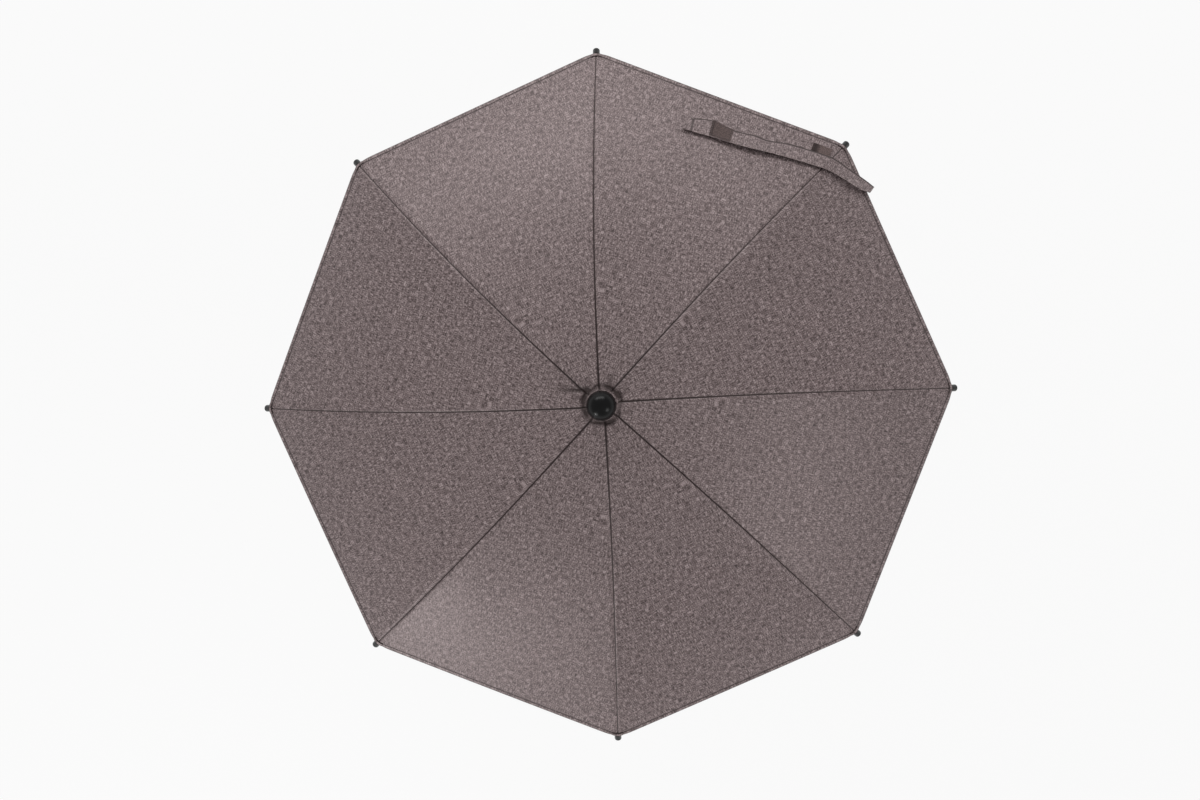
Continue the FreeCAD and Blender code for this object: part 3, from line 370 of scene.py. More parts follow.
def cloth_height(x, y):
    """Height of the cloth's upper side over a plan position, in mm."""
    radius, angle = math.hypot(x, y), math.atan2(y, x)
    off_rib = abs((angle + HALF_GORE) % (2 * HALF_GORE) - HALF_GORE)
    corner = radius * math.cos(HALF_GORE - off_rib) / NARROW
    share = radius * math.sin(off_rib) / (corner * NARROW * math.sin(HALF_GORE))
    rib = over_rib(corner)
    middle = middle_z + math.sqrt(MIDDLE_BEND**2 - (corner * NARROW - middle_x) ** 2)
    slack = BROAD_HEIGHT * noise.noise(Vector((x / BROAD_SIZE, y / BROAD_SIZE, 0.3)))
    slack += FINE_HEIGHT * noise.noise(Vector((x / FINE_SIZE, y / FINE_SIZE, 4.1)))
    slack *= min(1.0, radius / FULL_FROM_CROWN) * min(1.0, max(0.0, HEM - corner) / FULL_FROM_HEM)
    return rib + (middle - rib) * (1 - (1 - share) ** 2) + slack - GATHER_DROP * gather(x, y)


def seam_shift(corner):
    """The seams lie a little to one side of the ribs, as their allowance is turned that way."""
    share = corner / HEM
    return min(SHIFT_AT_CROWN * (1 - share) + SHIFT_BOW * math.sin(math.pi * share), SHIFT_MOST * corner)


def cloth_shell(name, upper, lower, marks, flip=False):
    """A closed sheet between two grids of points in mm; marks has each point's UV pairs and its painted crease shade.
    """
    rows, columns = len(upper), len(upper[0])
    count = rows * columns
    at = lambda row, column, under=0: under * count + row * columns + column
    points = [p for grid in (upper, lower) for line in grid for p in line]
    faces = []
    for row in range(rows - 1):
        for column in range(columns - 1):
            quad = [(row, column), (row + 1, column), (row + 1, column + 1), (row, column + 1)]
            faces.append([at(r, c) for r, c in quad])
            faces.append([at(r, c, 1) for r, c in reversed(quad)])
    rim = [(0, c) for c in range(columns)] + [(r, columns - 1) for r in range(1, rows)]
    rim += [(rows - 1, c) for c in range(columns - 2, -1, -1)] + [(r, 0) for r in range(rows - 2, 0, -1)]
    for here, there in zip(rim, rim[1:] + rim[:1]):
        faces.append([at(*here), at(*there), at(*there, 1), at(*here, 1)])
    if flip:
        faces = [face[::-1] for face in faces]
    mesh = bpy.data.meshes.new(name)
    mesh.from_pydata([[c * MM for c in p] for p in points], [], faces)
    mesh.shade_smooth()
    on_rim = {at(*p, under) for p in rim for under in (0, 1)}
    for edge in mesh.edges:
        a, b = edge.vertices
        edge.use_edge_sharp = a in on_rim and b in on_rim and a // count == b // count
    flat_marks = [m for line in marks for m in line]
    for layer_name, pick in (("weave", 0), ("edges", 1)):
        layer = mesh.uv_layers.new(name=layer_name)
        for loop in mesh.loops:
            layer.data[loop.index].uv = [c * MM for c in flat_marks[loop.vertex_index % count][pick]]
    creases = mesh.attributes.new("crease_shade", "FLOAT", "POINT")
    creases.data.foreach_set("value", [flat_marks[k % count][2] for k in range(2 * count)])
    piece = bpy.data.objects.new(name, mesh)
    bpy.context.collection.objects.link(piece)
    return piece


# Melange polyester, plain weave of mixed grey and brown yarns: light and dark slubs along both threads, a
# cross-hatched face and a broad soft gloss. Slubs are 0.6 by 5.5 mm, coarser than the yarn, so that they show.
cloth, tree, shader = new_material(
    "woven_melange_polyester", Roughness=0.46, Specular_IOR_Level=0.75, Specular_Tint=(1.0, 0.86, 0.85, 1.0),
    Sheen_Weight=0.05, Sheen_Roughness=0.5, IOR=1.5)
weave = add_node(tree, "ShaderNodeUVMap", uv_map="weave").outputs["UV"]
FLECK_WIDE, FLECK_LONG = 0.0006, 0.0055
warp_scale = add_node(tree, "ShaderNodeMapping", {"Vector": weave, "Scale": (1 / FLECK_WIDE, 1 / FLECK_LONG, 1)})
weft_scale = add_node(tree, "ShaderNodeMapping", {
    "Vector": weave, "Scale": (1 / FLECK_LONG, 1 / FLECK_WIDE, 1), "Location": (31.0, 17.0, 0.0)})
warp = add_node(tree, "ShaderNodeTexNoise", {
    "Vector": warp_scale.outputs[0], "Scale": 1.0, "Detail": 1.0}).outputs["Fac"]
weft = add_node(tree, "ShaderNodeTexNoise", {
    "Vector": weft_scale.outputs[0], "Scale": 1.0, "Detail": 1.0}).outputs["Fac"]
both = add_node(tree, "ShaderNodeMath", {0: warp, 1: weft}, operation="ADD")
yarns = add_node(tree, "ShaderNodeMath", {0: both.outputs[0], 1: 0.5}, operation="MULTIPLY").outputs[0]
flecks = add_node(tree, "ShaderNodeValToRGB", {"Fac": yarns}, stops=[
    (0.38, "#302626"), (0.5, "#6c5d5d"), (0.62, "#b0a0a0")]).outputs["Color"]
cloud = add_node(tree, "ShaderNodeTexNoise", {"Vector": weave, "Scale": 1 / 0.03, "Detail": 3.0}).outputs["Fac"]
shade = add_node(tree, "ShaderNodeMapRange", {
    "Value": cloud, "From Min": 0.3, "From Max": 0.7, "To Min": 0.95, "To Max": 1.05})
clouded = add_node(tree, "ShaderNodeVectorMath", {
    0: flecks, "Scale": shade.outputs[0]}, operation="SCALE").outputs["Vector"]
edges = add_node(tree, "ShaderNodeSeparateXYZ", {0: add_node(tree, "ShaderNodeUVMap", uv_map="edges").outputs["UV"]})
# Painted shade: a dark line in each seam's groove, where the cloth dips and lies in shade.
seam_shade = add_node(tree, "ShaderNodeMapRange", {
    "Value": edges.outputs["X"], "From Min": 0.0006, "From Max": 0.0012, "To Min": 0.97, "To Max": 0.0})
# Painted shade along the hem: a softer dark line on its rolled edge and a darker one in the dip along its stitches.
near_hem = add_node(tree, "ShaderNodeMapRange", {"Value": edges.outputs["Y"], "From Max": 0.006})
hem_shade = add_node(tree, "ShaderNodeValToRGB", {"Fac": near_hem.outputs[0]}, stops=[
    (0.0, 0.5), (0.1, 0.5), (0.18, 0.0), (0.5, 0.0), (0.57, 0.85), (0.68, 0.85), (0.8, 0.0)])
# Painted shade in the gathers, folds and creases, where the drawn-in cloth lies in shade.
shade_in_crease = add_node(tree, "ShaderNodeAttribute", attribute_name="crease_shade").outputs["Fac"]
in_crease = add_node(tree, "ShaderNodeMath", {0: shade_in_crease, 1: 0.95}, operation="MULTIPLY")
colour = clouded
# Mix in the painted shade of the seams, the hem and the creases.
for where, shadow in ((seam_shade, "#1f1211"), (hem_shade, "#2a1e1e"), (in_crease, "#1d0d0b")):
    darker = add_node(tree, "ShaderNodeMix", {0: where.outputs[0], 6: colour, 7: linear(shadow)}, data_type="RGBA")
    colour = darker.outputs[2]
threads = add_node(tree, "ShaderNodeBump", {"Strength": 0.45, "Distance": 0.0003, "Height": yarns})
link(tree, shader, Base_Color=colour, Normal=threads.outputs["Normal"])

# Spun polyester thread: darker than the cloth and a little shiny, with a fine twist.
thread, tree, shader = new_material("spun_polyester_thread", Sheen_Weight=0.2)
place = add_node(tree, "ShaderNodeTexCoord").outputs["Object"]
twist = add_node(tree, "ShaderNodeTexNoise", {"Vector": place, "Scale": 1 / 0.0006, "Detail": 2.0}).outputs["Fac"]
tone = add_node(tree, "ShaderNodeValToRGB", {"Fac": twist}, stops=[(0.3, "#3a3030"), (0.7, "#5a4d4d")])
fuzz = add_node(tree, "ShaderNodeMapRange", {"Value": twist, "To Min": 0.55, "To Max": 0.8})
link(tree, shader, Base_Color=tone.outputs["Color"], Roughness=fuzz.outputs["Result"])

stitch_tree = bpy.data.node_groups.new("stitch_row", "GeometryNodeTree")
stitch_tree.interface.new_socket("Line", in_out="INPUT", socket_type="NodeSocketGeometry")
for socket, default in (("Spacing", 0.0032), ("Length", 0.0025), ("Width", 0.0007), ("Height", 0.0005)):
    stitch_tree.interface.new_socket(socket, in_out="INPUT", socket_type="NodeSocketFloat").default_value = default
stitch_tree.interface.new_socket("Finish", in_out="INPUT", socket_type="NodeSocketMaterial")
stitch_tree.interface.new_socket("Geometry", in_out="OUTPUT", socket_type="NodeSocketGeometry")
given = add_node(stitch_tree, "NodeGroupInput").outputs
seam_line = add_node(stitch_tree, "GeometryNodeMeshToCurve", {"Mesh": given["Line"]})
spaced = add_node(stitch_tree, "GeometryNodeResampleCurve", {
    "Curve": seam_line.outputs["Curve"], "Length": given["Spacing"]}, mode="LENGTH")
tangent = add_node(stitch_tree, "GeometryNodeInputTangent")
turned = add_node(stitch_tree, "FunctionNodeAlignRotationToVector", {"Vector": tangent.outputs["Tangent"]}, axis="X")
stitch = add_node(stitch_tree, "GeometryNodeMeshUVSphere", {"Segments": 6, "Rings": 4, "Radius": 0.5})
span = add_node(stitch_tree, "ShaderNodeCombineXYZ", {"X": given["Length"], "Y": given["Width"], "Z": given["Height"]})
sewn = add_node(stitch_tree, "GeometryNodeInstanceOnPoints", {
    "Points": spaced.outputs["Curve"], "Instance": stitch.outputs["Mesh"], "Rotation": turned.outputs["Rotation"],
    "Scale": span.outputs["Vector"]})
smooth = add_node(stitch_tree, "GeometryNodeSetShadeSmooth", {"Geometry": sewn.outputs["Instances"]})
real = add_node(stitch_tree, "GeometryNodeRealizeInstances", {"Geometry": smooth.outputs["Geometry"]})
coloured = add_node(stitch_tree, "GeometryNodeSetMaterial", {
    "Geometry": real.outputs["Geometry"], "Material": given["Finish"]})
add_node(stitch_tree, "NodeGroupOutput", {"Geometry": coloured.outputs["Geometry"]})


def sew(name, line):
    """A row of stitches along points in mm."""
    rail = bpy.data.meshes.new(name + "_rail")
    rail.from_pydata([[c * MM for c in p] for p in line], [(k, k + 1) for k in range(len(line) - 1)], [])
    return made_by(stitch_tree, name, {"Finish": thread}, rail)


# Where a half bends away from its rib as the parasol closes, in the plan of rib 1, in mm from the crown.
FOLD_ACROSS = Vector((-0.37994848, 0.61838861, -0.68792055))
FOLD_START, FOLD_LENGTH = -56.00492, 90.18877


def bend_with(piece, number, side, change=-0.0009):
    """Bakes a piece's place into its mesh. It works out the growth of the fold for rib number and side, but does not
    use it: the piece neither follows the rib nor folds. Change adds to that growth for each mm beyond a corner:
    slower outside and faster inside, so that the gores would still meet when closed."""
    rise = FOLD_ACROSS / FOLD_LENGTH + change * Vector((1.0, math.tan(HALF_GORE), 0.0))
    if side == "right":
        rise.y = -rise.y
    rise.rotate(Matrix.Rotation(math.radians(45 * (number - 1)), 3, "Z"))
    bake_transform(piece)


# Rows of each part, closest together round the finial and at the hem, and the row that the hem's stitches follow.
collar_corners = [HOLE + 0.7 * k for k in range(19)] + [COLLAR]
inner_corners = [COLLAR + k for k in range(29)] + [52 + 5 * k for k in range(34)]
outer_corners = [SPLIT + 5 * k for k in range(24)] + [335 + k for k in range(5)]
outer_corners += [339.5 + 0.7 * k for k in range(10)] + [HEM]
STITCHED = outer_corners[33]
COLUMNS = 30
shares = [3 * (k / COLUMNS) ** 2 - 2 * (k / COLUMNS) ** 3 for k in range(COLUMNS + 1)]


def half_gore(number, side, corners):
    """Upper and lower points of a canopy half over some corners, their marks, and the line of its hem stitches."""
    sign = 1 if side == "left" else -1
    turn = math.radians(45 * (number - 1))
    upper, lower, marks, hem_line = [], [], [], []
    for corner in corners:
        middle = corner * NARROW * math.sin(HALF_GORE)
        start = sign * seam_shift(corner)
        from_hem = (HEM - corner) * NARROW
        rolled = -ROLL_DROP * max(0.0, 1 - from_hem / ROLL_WIDTH) ** 2
        rolled -= STITCH_DROP * math.exp(-((from_hem - HEM_WIDTH) / STITCH_WIDTH) ** 2)
        top_line, low_line, mark_line = [], [], []
        for share in shares:
            from_seam = (middle - start) * share
            aside = start + from_seam
            ahead = corner - abs(aside) * math.tan(HALF_GORE)
            over = max(0.0, ahead - CORNER_FROM) / (HEM - CORNER_FROM)
            ahead -= CORNER_CUT * over**2
            drawn_in = 1 - DRAWN_IN * (1 - (1 - share) ** 2) * corner / HEM
            x = drawn_in * (ahead * math.cos(turn) - sign * aside * math.sin(turn))
            y = drawn_in * (ahead * math.sin(turn) + sign * aside * math.cos(turn))
            pinch = SEAM_PINCH * math.exp(-(from_seam / SEAM_REACH) ** 2)
            ridge = RIDGE_RISE * math.exp(-((from_seam - RIDGE_AT) / RIDGE_WIDTH) ** 2) if sign > 0 else 0.0
            z = cloth_height(x, y) + rolled - pinch + ridge
            in_fold = from_hem < HEM_WIDTH + STITCH_WIDTH or (sign > 0 and from_seam < ALLOWANCE)
            doubled = SECOND_LAYER if in_fold else 0.0
            top_line.append((x, y, z))
            low_line.append((x, y, z - SLOPED * CLOTH - doubled))
            # The distance that sets the seam's painted shade line, which narrows towards the hem.
            seam_mark = from_seam * (LINE_AT_CROWN + LINE_GROWTH * corner / HEM)
            # The gathers' depth is also their painted shade.
            mark_line.append(((sign * (middle - aside), corner), (seam_mark, from_hem), gather(x, y)))
            if corner == STITCHED:
                hem_line.append((x, y, z + STITCH_RISE))
        upper.append(top_line)
        lower.append(low_line)
        marks.append(mark_line)
    return upper, lower, marks, hem_line


TAPE_SPAN, TAPE_END, TAPE_WIDTH, TAPE_CURVE = 11.0, 343.9, 2.8, 0.04
TAPE_OVER, TAPE_ARCH, TAPE_THICK = 1.1, 0.4, 0.9
TAPE_STEPS, TAPE_LINES = 14, 6
# Each kind of trim takes its yarns from a place of its own in the weave.
TAPE_WEAVE, ROSETTE_WEAVE, STRAP_WEAVE = 500.0, 600, 400.0


def corner_tape(number):
    """A folded tape sewn across a corner of the canopy, behind the tip cap, with painted shade along its inner edge."""
    turn = math.radians(45 * (number - 1))
    upper, lower, marks = [], [], []
    for step in range(TAPE_STEPS + 1):
        aside = TAPE_SPAN * (step / TAPE_STEPS - 0.5)
        back = TAPE_CURVE * aside**2
        row = []
        for k in range(TAPE_LINES + 1):
            ahead = TAPE_END - back - TAPE_WIDTH * k / TAPE_LINES
            x = ahead * math.cos(turn) - aside * math.sin(turn)
            y = ahead * math.sin(turn) + aside * math.cos(turn)
            row.append((x, y, cloth_height(x, y) + TAPE_OVER + TAPE_ARCH * math.sin(math.pi * k / TAPE_LINES)))
        upper.append(row)
        lower.append([(x, y, z - TAPE_THICK) for x, y, z in row])
        # The tape's inner edge gets painted shade, where it stands over the cloth.
        marks.append([((TAPE_WEAVE + k / 2, aside), NO_EDGE, 0.9 if k == TAPE_LINES else 0.0)
                      for k in range(TAPE_LINES + 1)])
    return cloth_shell(f"corner_tape_{number}", upper, lower, marks, flip=True)


for number in range(1, 9):
    tape = corner_tape(number)
    tape.data.materials.append(cloth)
    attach(tape, f"rib_{number}")
    for side in ("left", "right"):
        name = f"cloth_{number}_{side}"
        parts = []
        for suffix, corners in (("", outer_corners), ("_crown", inner_corners), ("_collar", collar_corners)):
            upper, lower, marks, hem_line = half_gore(number, side, corners)
            part = cloth_shell(name + suffix, upper, lower, marks, flip=side == "right")
            part.data.materials.append(cloth)
            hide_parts(f"canopy_{number}_{side}")
            parts.append(part)
            if hem_line:
                stitches = sew(f"hem_stitches_{number}_{side}", hem_line[2:])
        outer, inner, collar = parts
        bend_with(outer, number, side)
        bend_with(stitches, number, side)
        bend_with(inner, number, side, change=0.0)
        bend_with(collar, number, side, change=0.04)


# Rosette: a small disc of the cloth between the canopy's crown and the finial, that hides the rib eyes. Cut by hand,
# so its edge wavers, and drawn down by the ball, so it bulges and ripples.

ROSETTE_FROM, ROSETTE_EDGE, ROSETTE_LEVEL = 4.6, 14.6, 724.75
ROSETTE_STEPS, ROSETTE_RINGS = 96, 12
RIPPLE, RIPPLE_FROM, BULGE, BULGE_FROM, BULGE_WIDTH = 0.25, 8, 0.5, 7, 9
upper, lower, marks = [], [], []
for step in range(ROSETTE_STEPS + 1):
    angle = math.radians(360 * step / ROSETTE_STEPS)
    edge = ROSETTE_EDGE + 0.3 * math.sin(5 * angle + 1) + 0.25 * math.sin(3 * angle)
    row = []
    for k in range(ROSETTE_RINGS + 1):
        radius = edge + (ROSETTE_FROM - edge) * k / ROSETTE_RINGS
        ripple = RIPPLE * math.sin(9 * angle + 0.5) * max(0.0, radius - RIPPLE_FROM) / RIPPLE_FROM
        rise = BULGE * math.sin(math.pi * min(1.0, max(0.0, radius - BULGE_FROM) / BULGE_WIDTH)) + ripple
        row.append((radius * math.cos(angle), radius * math.sin(angle), ROSETTE_LEVEL + rise))
    upper.append(row)
    lower.append([(x, y, z - CLOTH) for x, y, z in row])
    marks.append([((ROSETTE_WEAVE + x, y), NO_EDGE, 0.0) for x, y, z in row])
rosette = cloth_shell("crown_rosette", upper, lower, marks, flip=True)
rosette.data.materials.append(cloth)
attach(rosette, "upper_pole")


# Tip caps: the canopy's corners are sewn to them and they are pushed on the rib ends. Gloss black ABS, each moulded
# in one shot.

# Gloss ABS: near black with a mirror-like skin, softened by hairline scratches.
gloss_plastic, tree, shader = new_material("polished_black_abs", IOR=1.54)
place = add_node(tree, "ShaderNodeTexCoord").outputs["Object"]
hairs = add_node(tree, "ShaderNodeMapping", {"Vector": place, "Scale": (1 / 0.0004, 1 / 0.006, 1 / 0.006)})
scratch = add_node(tree, "ShaderNodeTexNoise", {"Vector": hairs.outputs[0], "Scale": 1.0, "Detail": 4.0}).outputs["Fac"]
tone = add_node(tree, "ShaderNodeValToRGB", {"Fac": scratch}, stops=[(0.4, "#0b0b0c"), (0.8, "#151516")])
polish = add_node(tree, "ShaderNodeMapRange", {"Value": scratch, "To Min": 0.08, "To Max": 0.22})
link(tree, shader, Base_Color=tone.outputs["Color"], Roughness=polish.outputs["Result"])
for number in range(1, 9):
    dress(gloss_plastic, f"tip_cap_{number}")


# Tie strap: a band of the canopy's cloth, sewn under the hem beside rib 2 and turned up over it, that wraps the
# closed parasol. Cut as one strip and turned in at its edges; made here in two lengths that meet over the rib.

# Plan positions of its two edges in mm, from the sewn end to the free end.
STRAP_OUTER = [(270.9, 202.8), (263.0, 208.8), (247.2, 219.3), (233.1, 228.8), (218.2, 235.1), (188.4, 245.0),
               (165.8, 249.3), (153.9, 254.3), (133.1, 260.0), (113.9, 269.8), (100.6, 272.4), (92.2, 272.4)]
STRAP_INNER = [(265.7, 196.7), (255.6, 199.5), (239.6, 209.2), (225.8, 216.8), (212.0, 222.0), (184.0, 231.2),
               (162.1, 237.3), (149.1, 240.6), (128.4, 246.9), (109.1, 253.9), (96.1, 257.6), (82.6, 262.4)]
STRAP_END = len(STRAP_OUTER) - 1
STRAP_SPLIT = 3.3
STRAP_THICK = 1.2
STRAP_ACROSS = 12
# The strap evens out the cloth under it over a few spots to each side, and lies a little clear of it.
EVEN_STEP, EVEN_REACH, STRAP_CLEAR = 0.15, 3, 0.8
# Its inner edge stands up, more in some places than in others; it also arches across and is slack.
EDGE_LIFT, LIFT_SWAY, STRAP_ARCH, STRAP_SLACK = 2.5, 0.9, 0.5, 0.5


def spread(start, length, steps):
    """Even steps over a length, with both its ends."""
    return [start + length * k / steps for k in range(steps + 1)]


def along_edge(edge, along):
    """Plan point on a smooth line through an edge's points; along counts them."""
    first = min(int(along), STRAP_END - 1)
    share = along - first
    p = [Vector(edge[min(max(first + k, 0), STRAP_END)]) for k in (-1, 0, 1, 2)]
    a, b = (p[2] - p[0]) / 2, (p[3] - p[1]) / 2
    return (p[1] * (2 * share**3 - 3 * share**2 + 1) + a * (share**3 - 2 * share**2 + share)
            + p[2] * (3 * share**2 - 2 * share**3) + b * (share**3 - share**2))


def strap_spot(along, share):
    """Plan point on the strap, share going from its outer to its inner edge."""
    return along_edge(STRAP_OUTER, along) * (1 - share) + along_edge(STRAP_INNER, along) * share


def strap_row(along, shares, rise=0.0):
    """Points across the strap's upper side: its outer edge lies on the canopy, its inner edge stands clear of it."""
    row = []
    for share in shares:
        spots = [strap_spot(along + EVEN_STEP * k, share) for k in range(-EVEN_REACH, EVEN_REACH + 1)]
        heights = [cloth_height(p.x, p.y) for p in spots]
        level = max(sum(heights) / len(heights), heights[EVEN_REACH]) + STRAP_CLEAR + STRAP_THICK
        inside = min(1.0, max(0.0, share))
        lift = (EDGE_LIFT + LIFT_SWAY * math.sin(1.1 * along + 0.4)) * inside**2
        lift += STRAP_ARCH * math.sin(math.pi * inside)
        lift += STRAP_SLACK * noise.noise(Vector((1.9 * along, 1.3 * share, 7.7)))
        row.append((spots[EVEN_REACH].x, spots[EVEN_REACH].y, level + lift + rise))
    return row


# The free end is turned under along this line: a point on it and the direction along the strap.
END_TURN, END_AHEAD = Vector((92.6, 265.5)), Vector((0.974, -0.227))
# That fold gets painted shade as a hem's stitch line does: its place and scale in the marks, and the least mark past
# it.
TURN_MARK, TURN_SCALE, TURN_LEAST = 3.75, 0.55, 1.5
# Width of the painted shade line along the outer edge, where it meets the cloth, beyond a seam's.
OUTER_LINE = 0.7


def strap_piece(name, rows, thick, creases=None):
    """A band through rows of points, with its weave along it, painted shade along its outer edge and end fold, and
    painted crease shade.
    """
    lengths = [0.0]
    for row, following in zip(rows, rows[1:]):
        middle = len(row) // 2
        lengths.append(lengths[-1] + (Vector(following[middle]) - Vector(row[middle])).length)
    upper, lower, marks = [], [], []
    for row, length in zip(rows, lengths):
        upper.append(row)
        lower.append([(x, y, z - thick) for x, y, z in row])
        widths = [(Vector(p) - Vector(row[0])).length for p in row]
        to_end = [max(TURN_LEAST, TURN_MARK + TURN_SCALE * (Vector(p[:2]) - END_TURN).dot(END_AHEAD)) for p in row]
        crease = creases[len(marks)] if creases else 0.0
        # The marks carry the painted shade of the outer edge and the end fold.
        marks.append([((STRAP_WEAVE + width, length), (max(0.0, width - OUTER_LINE), end), crease)
                      for width, end in zip(widths, to_end)])
    crosses = (Vector(rows[1][0]) - Vector(rows[0][0])).cross(Vector(rows[0][-1]) - Vector(rows[0][0]))
    return cloth_shell(name, upper, lower, marks, flip=crosses.z < 0), lengths[-1]


# The sewn end goes over the hem in a small loop and back under the cloth.
LOOP_STEPS, TURN_STEPS, UNDER_STEP = 14, 8, 1.8
LOOP_OUT, LOOP_DROP = 1.5, 2.4
SEWN_STEPS, FREE_STEPS = 24, 60
ACROSS = spread(0.0, 1.0, STRAP_ACROSS)
edge_row = strap_row(0.0, ACROSS)
ahead = (strap_spot(0.5, 0.5) - strap_spot(0.0, 0.5)).normalized()
sewn_rows = []
for step in range(LOOP_STEPS, 0, -1):
    angle = math.pi * min(1.0, step / TURN_STEPS)
    back = max(0, step - TURN_STEPS) * UNDER_STEP
    out = LOOP_OUT * math.sin(angle) - back
    drop = LOOP_DROP * (1 - math.cos(angle))
    sewn_rows.append([(x - ahead.x * out, y - ahead.y * out, z - drop) for x, y, z in edge_row])
sewn_rows += [strap_row(along, ACROSS) for along in spread(0.0, STRAP_SPLIT, SEWN_STEPS)]
free_rows = [strap_row(along, ACROSS) for along in spread(STRAP_SPLIT, STRAP_END - STRAP_SPLIT, FREE_STEPS)]
sewn_part, sewn_length = strap_piece("tie_strap_sewn_end", sewn_rows, STRAP_THICK)
free_part, free_length = strap_piece("tie_strap_free_end", free_rows, STRAP_THICK)
for part in (sewn_part, free_part):
    part.data.materials.append(cloth)
    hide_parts("tie_strap")

# Knitted loop of the hook-and-loop patches: a smooth darker brown nap over a backing, with painted shade where a patch
# folds or curls.
nap, tree, shader = new_material(
    "brushed_nylon_loop", Roughness=0.95, Sheen_Weight=0.1, Sheen_Roughness=0.6, Specular_IOR_Level=0.2)
place = add_node(tree, "ShaderNodeTexCoord").outputs["Object"]
loops = add_node(tree, "ShaderNodeTexVoronoi", {"Vector": place, "Scale": 1 / 0.0011}).outputs["Distance"]
tone = add_node(tree, "ShaderNodeValToRGB", {"Fac": loops}, stops=[(0.0, "#826f6c"), (0.7, "#5b4d4b")])
# Painted shade from the crease values; a small even value only darkens a patch's own tone.
shade_in_crease = add_node(tree, "ShaderNodeAttribute", attribute_name="crease_shade").outputs["Fac"]
wear_and_shade = add_node(tree, "ShaderNodeMix", {0: shade_in_crease, 6: tone.outputs["Color"], 7: linear("#241b1b")}, data_type="RGBA")
pile = add_node(tree, "ShaderNodeBump", {"Strength": 0.5, "Distance": 0.0004, "Height": loops}, invert=True)
link(tree, shader, Base_Color=wear_and_shade.outputs[2], Normal=pile.outputs["Normal"])

# One patch lies across the strap near its free end; its mate is sewn on the canopy and shows beside the strap.
# Each is given by where it starts along the strap and its length there, and likewise across the strap.
PATCH_START, PATCH_RUN, PATCH_SIDE, PATCH_WIDE = 8.0, 1.05, -0.04, 0.98
PATCH_STEPS, PATCH_RISE, PATCH_THICK = 16, 0.6, 0.7
# Crease values by row: 0.22 darkens the hook patch's own tone; its last rows get painted crease shade.
PATCH_CREASES = [0.22] * 14 + [0.7, 0.3, 0.7]
BORDER_START, BORDER_RUN, BORDER_SIDE, BORDER_WIDE = 8.07, 0.91, 0.06, 0.8
BORDER_STEPS, BORDER_RISE = 12, 0.7
MATE_START, MATE_RUN, MATE_SIDE, MATE_WIDE = 3.5, 0.85, -0.6, 1.2
MATE_STEPS, MATE_RISE, MATE_THICK = 12, 0.7, 0.55
# The mate's curled end gets painted shade.
MATE_CREASES = [0.0] * 9 + [0.4, 0.8, 0.85, 0.6]
# The mate's far corner curls up by MATE_CURL, from CURL_FROM of its length; CURL_SPAN is the square of the rest.
MATE_CURL, CURL_FROM, CURL_SPAN = 1.6, 0.7, 0.09
patch_across = spread(PATCH_SIDE, PATCH_WIDE, STRAP_ACROSS)
patch_rows = [strap_row(along, patch_across, PATCH_RISE) for along in spread(PATCH_START, PATCH_RUN, PATCH_STEPS)]
hook_patch, _ = strap_piece("hook_patch", patch_rows, PATCH_THICK, PATCH_CREASES)
border_across = spread(BORDER_SIDE, BORDER_WIDE, BORDER_STEPS)
inset = [strap_row(along, border_across, BORDER_RISE) for along in spread(BORDER_START, BORDER_RUN, BORDER_STEPS)]
border = [row[0] for row in inset] + inset[-1][1:] + [row[-1] for row in inset[::-1]] + inset[0][::-1][1:]
patch_stitches = sew("hook_patch_stitches", border)
mate_across = spread(MATE_SIDE, MATE_WIDE, STRAP_ACROSS)
mate_rows = []
for k, along in enumerate(spread(MATE_START, MATE_RUN, MATE_STEPS)):
    spots = [strap_spot(along, share) for share in mate_across]
    curl = MATE_CURL * max(0.0, k / MATE_STEPS - CURL_FROM) ** 2 / CURL_SPAN
    mate_rows.append([(p.x, p.y, cloth_height(p.x, p.y) + MATE_RISE + curl * max(0.0, -share) / -MATE_SIDE)
                      for p, share in zip(spots, mate_across)])
mate_patch, mate_length = strap_piece("mating_patch", mate_rows, MATE_THICK, MATE_CREASES)
for part in (hook_patch, mate_patch):
    part.data.materials.append(nap)

# The strap's pieces and the patches, baked in place beside rib 2.
bend_with(sewn_part, 2, "right")
for part in (free_part, hook_patch, patch_stitches, mate_patch):
    bend_with(part, 2, "left")


# Finial: the ball screwed on the pole's end, whose foot holds down the crown of the canopy. Moulded in black ABS,
# with the small round mark of the mould's pin at its top.

# Satin ABS: a deeper black than the caps, with soft highlights and a faint haze from handling.
satin_plastic, tree, shader = new_material("satin_black_abs", IOR=1.54, Specular_IOR_Level=0.17)
place = add_node(tree, "ShaderNodeTexCoord").outputs["Object"]
haze = add_node(tree, "ShaderNodeTexNoise", {"Vector": place, "Scale": 1 / 0.005, "Detail": 4.0}).outputs["Fac"]
tone = add_node(tree, "ShaderNodeValToRGB", {"Fac": haze}, stops=[(0.35, "#080808"), (0.75, "#0e0e0f")])
soft = add_node(tree, "ShaderNodeMapRange", {"Value": haze, "To Min": 0.2, "To Max": 0.3})
level = add_node(tree, "ShaderNodeVectorMath", {0: place, 1: (1.0, 1.0, 0.0)}, operation="MULTIPLY")
off_axis = add_node(tree, "ShaderNodeVectorMath", {0: level.outputs["Vector"]}, operation="LENGTH").outputs["Value"]
pin = add_node(tree, "ShaderNodeMapRange", {"Value": off_axis, "From Min": 0.0009, "From Max": 0.0013})
mark = add_node(tree, "ShaderNodeBump", {"Strength": 0.6, "Distance": 0.0003, "Height": pin.outputs["Result"]})
link(tree, shader, Base_Color=tone.outputs["Color"], Roughness=soft.outputs["Result"], Normal=mark.outputs["Normal"])
dress(satin_plastic, "finial")


# Floor, lamps and camera: a white studio floor, soft lamps round the parasol, and the view straight down on the
# crown.

floor_mesh = bpy.data.meshes.new("studio_floor")
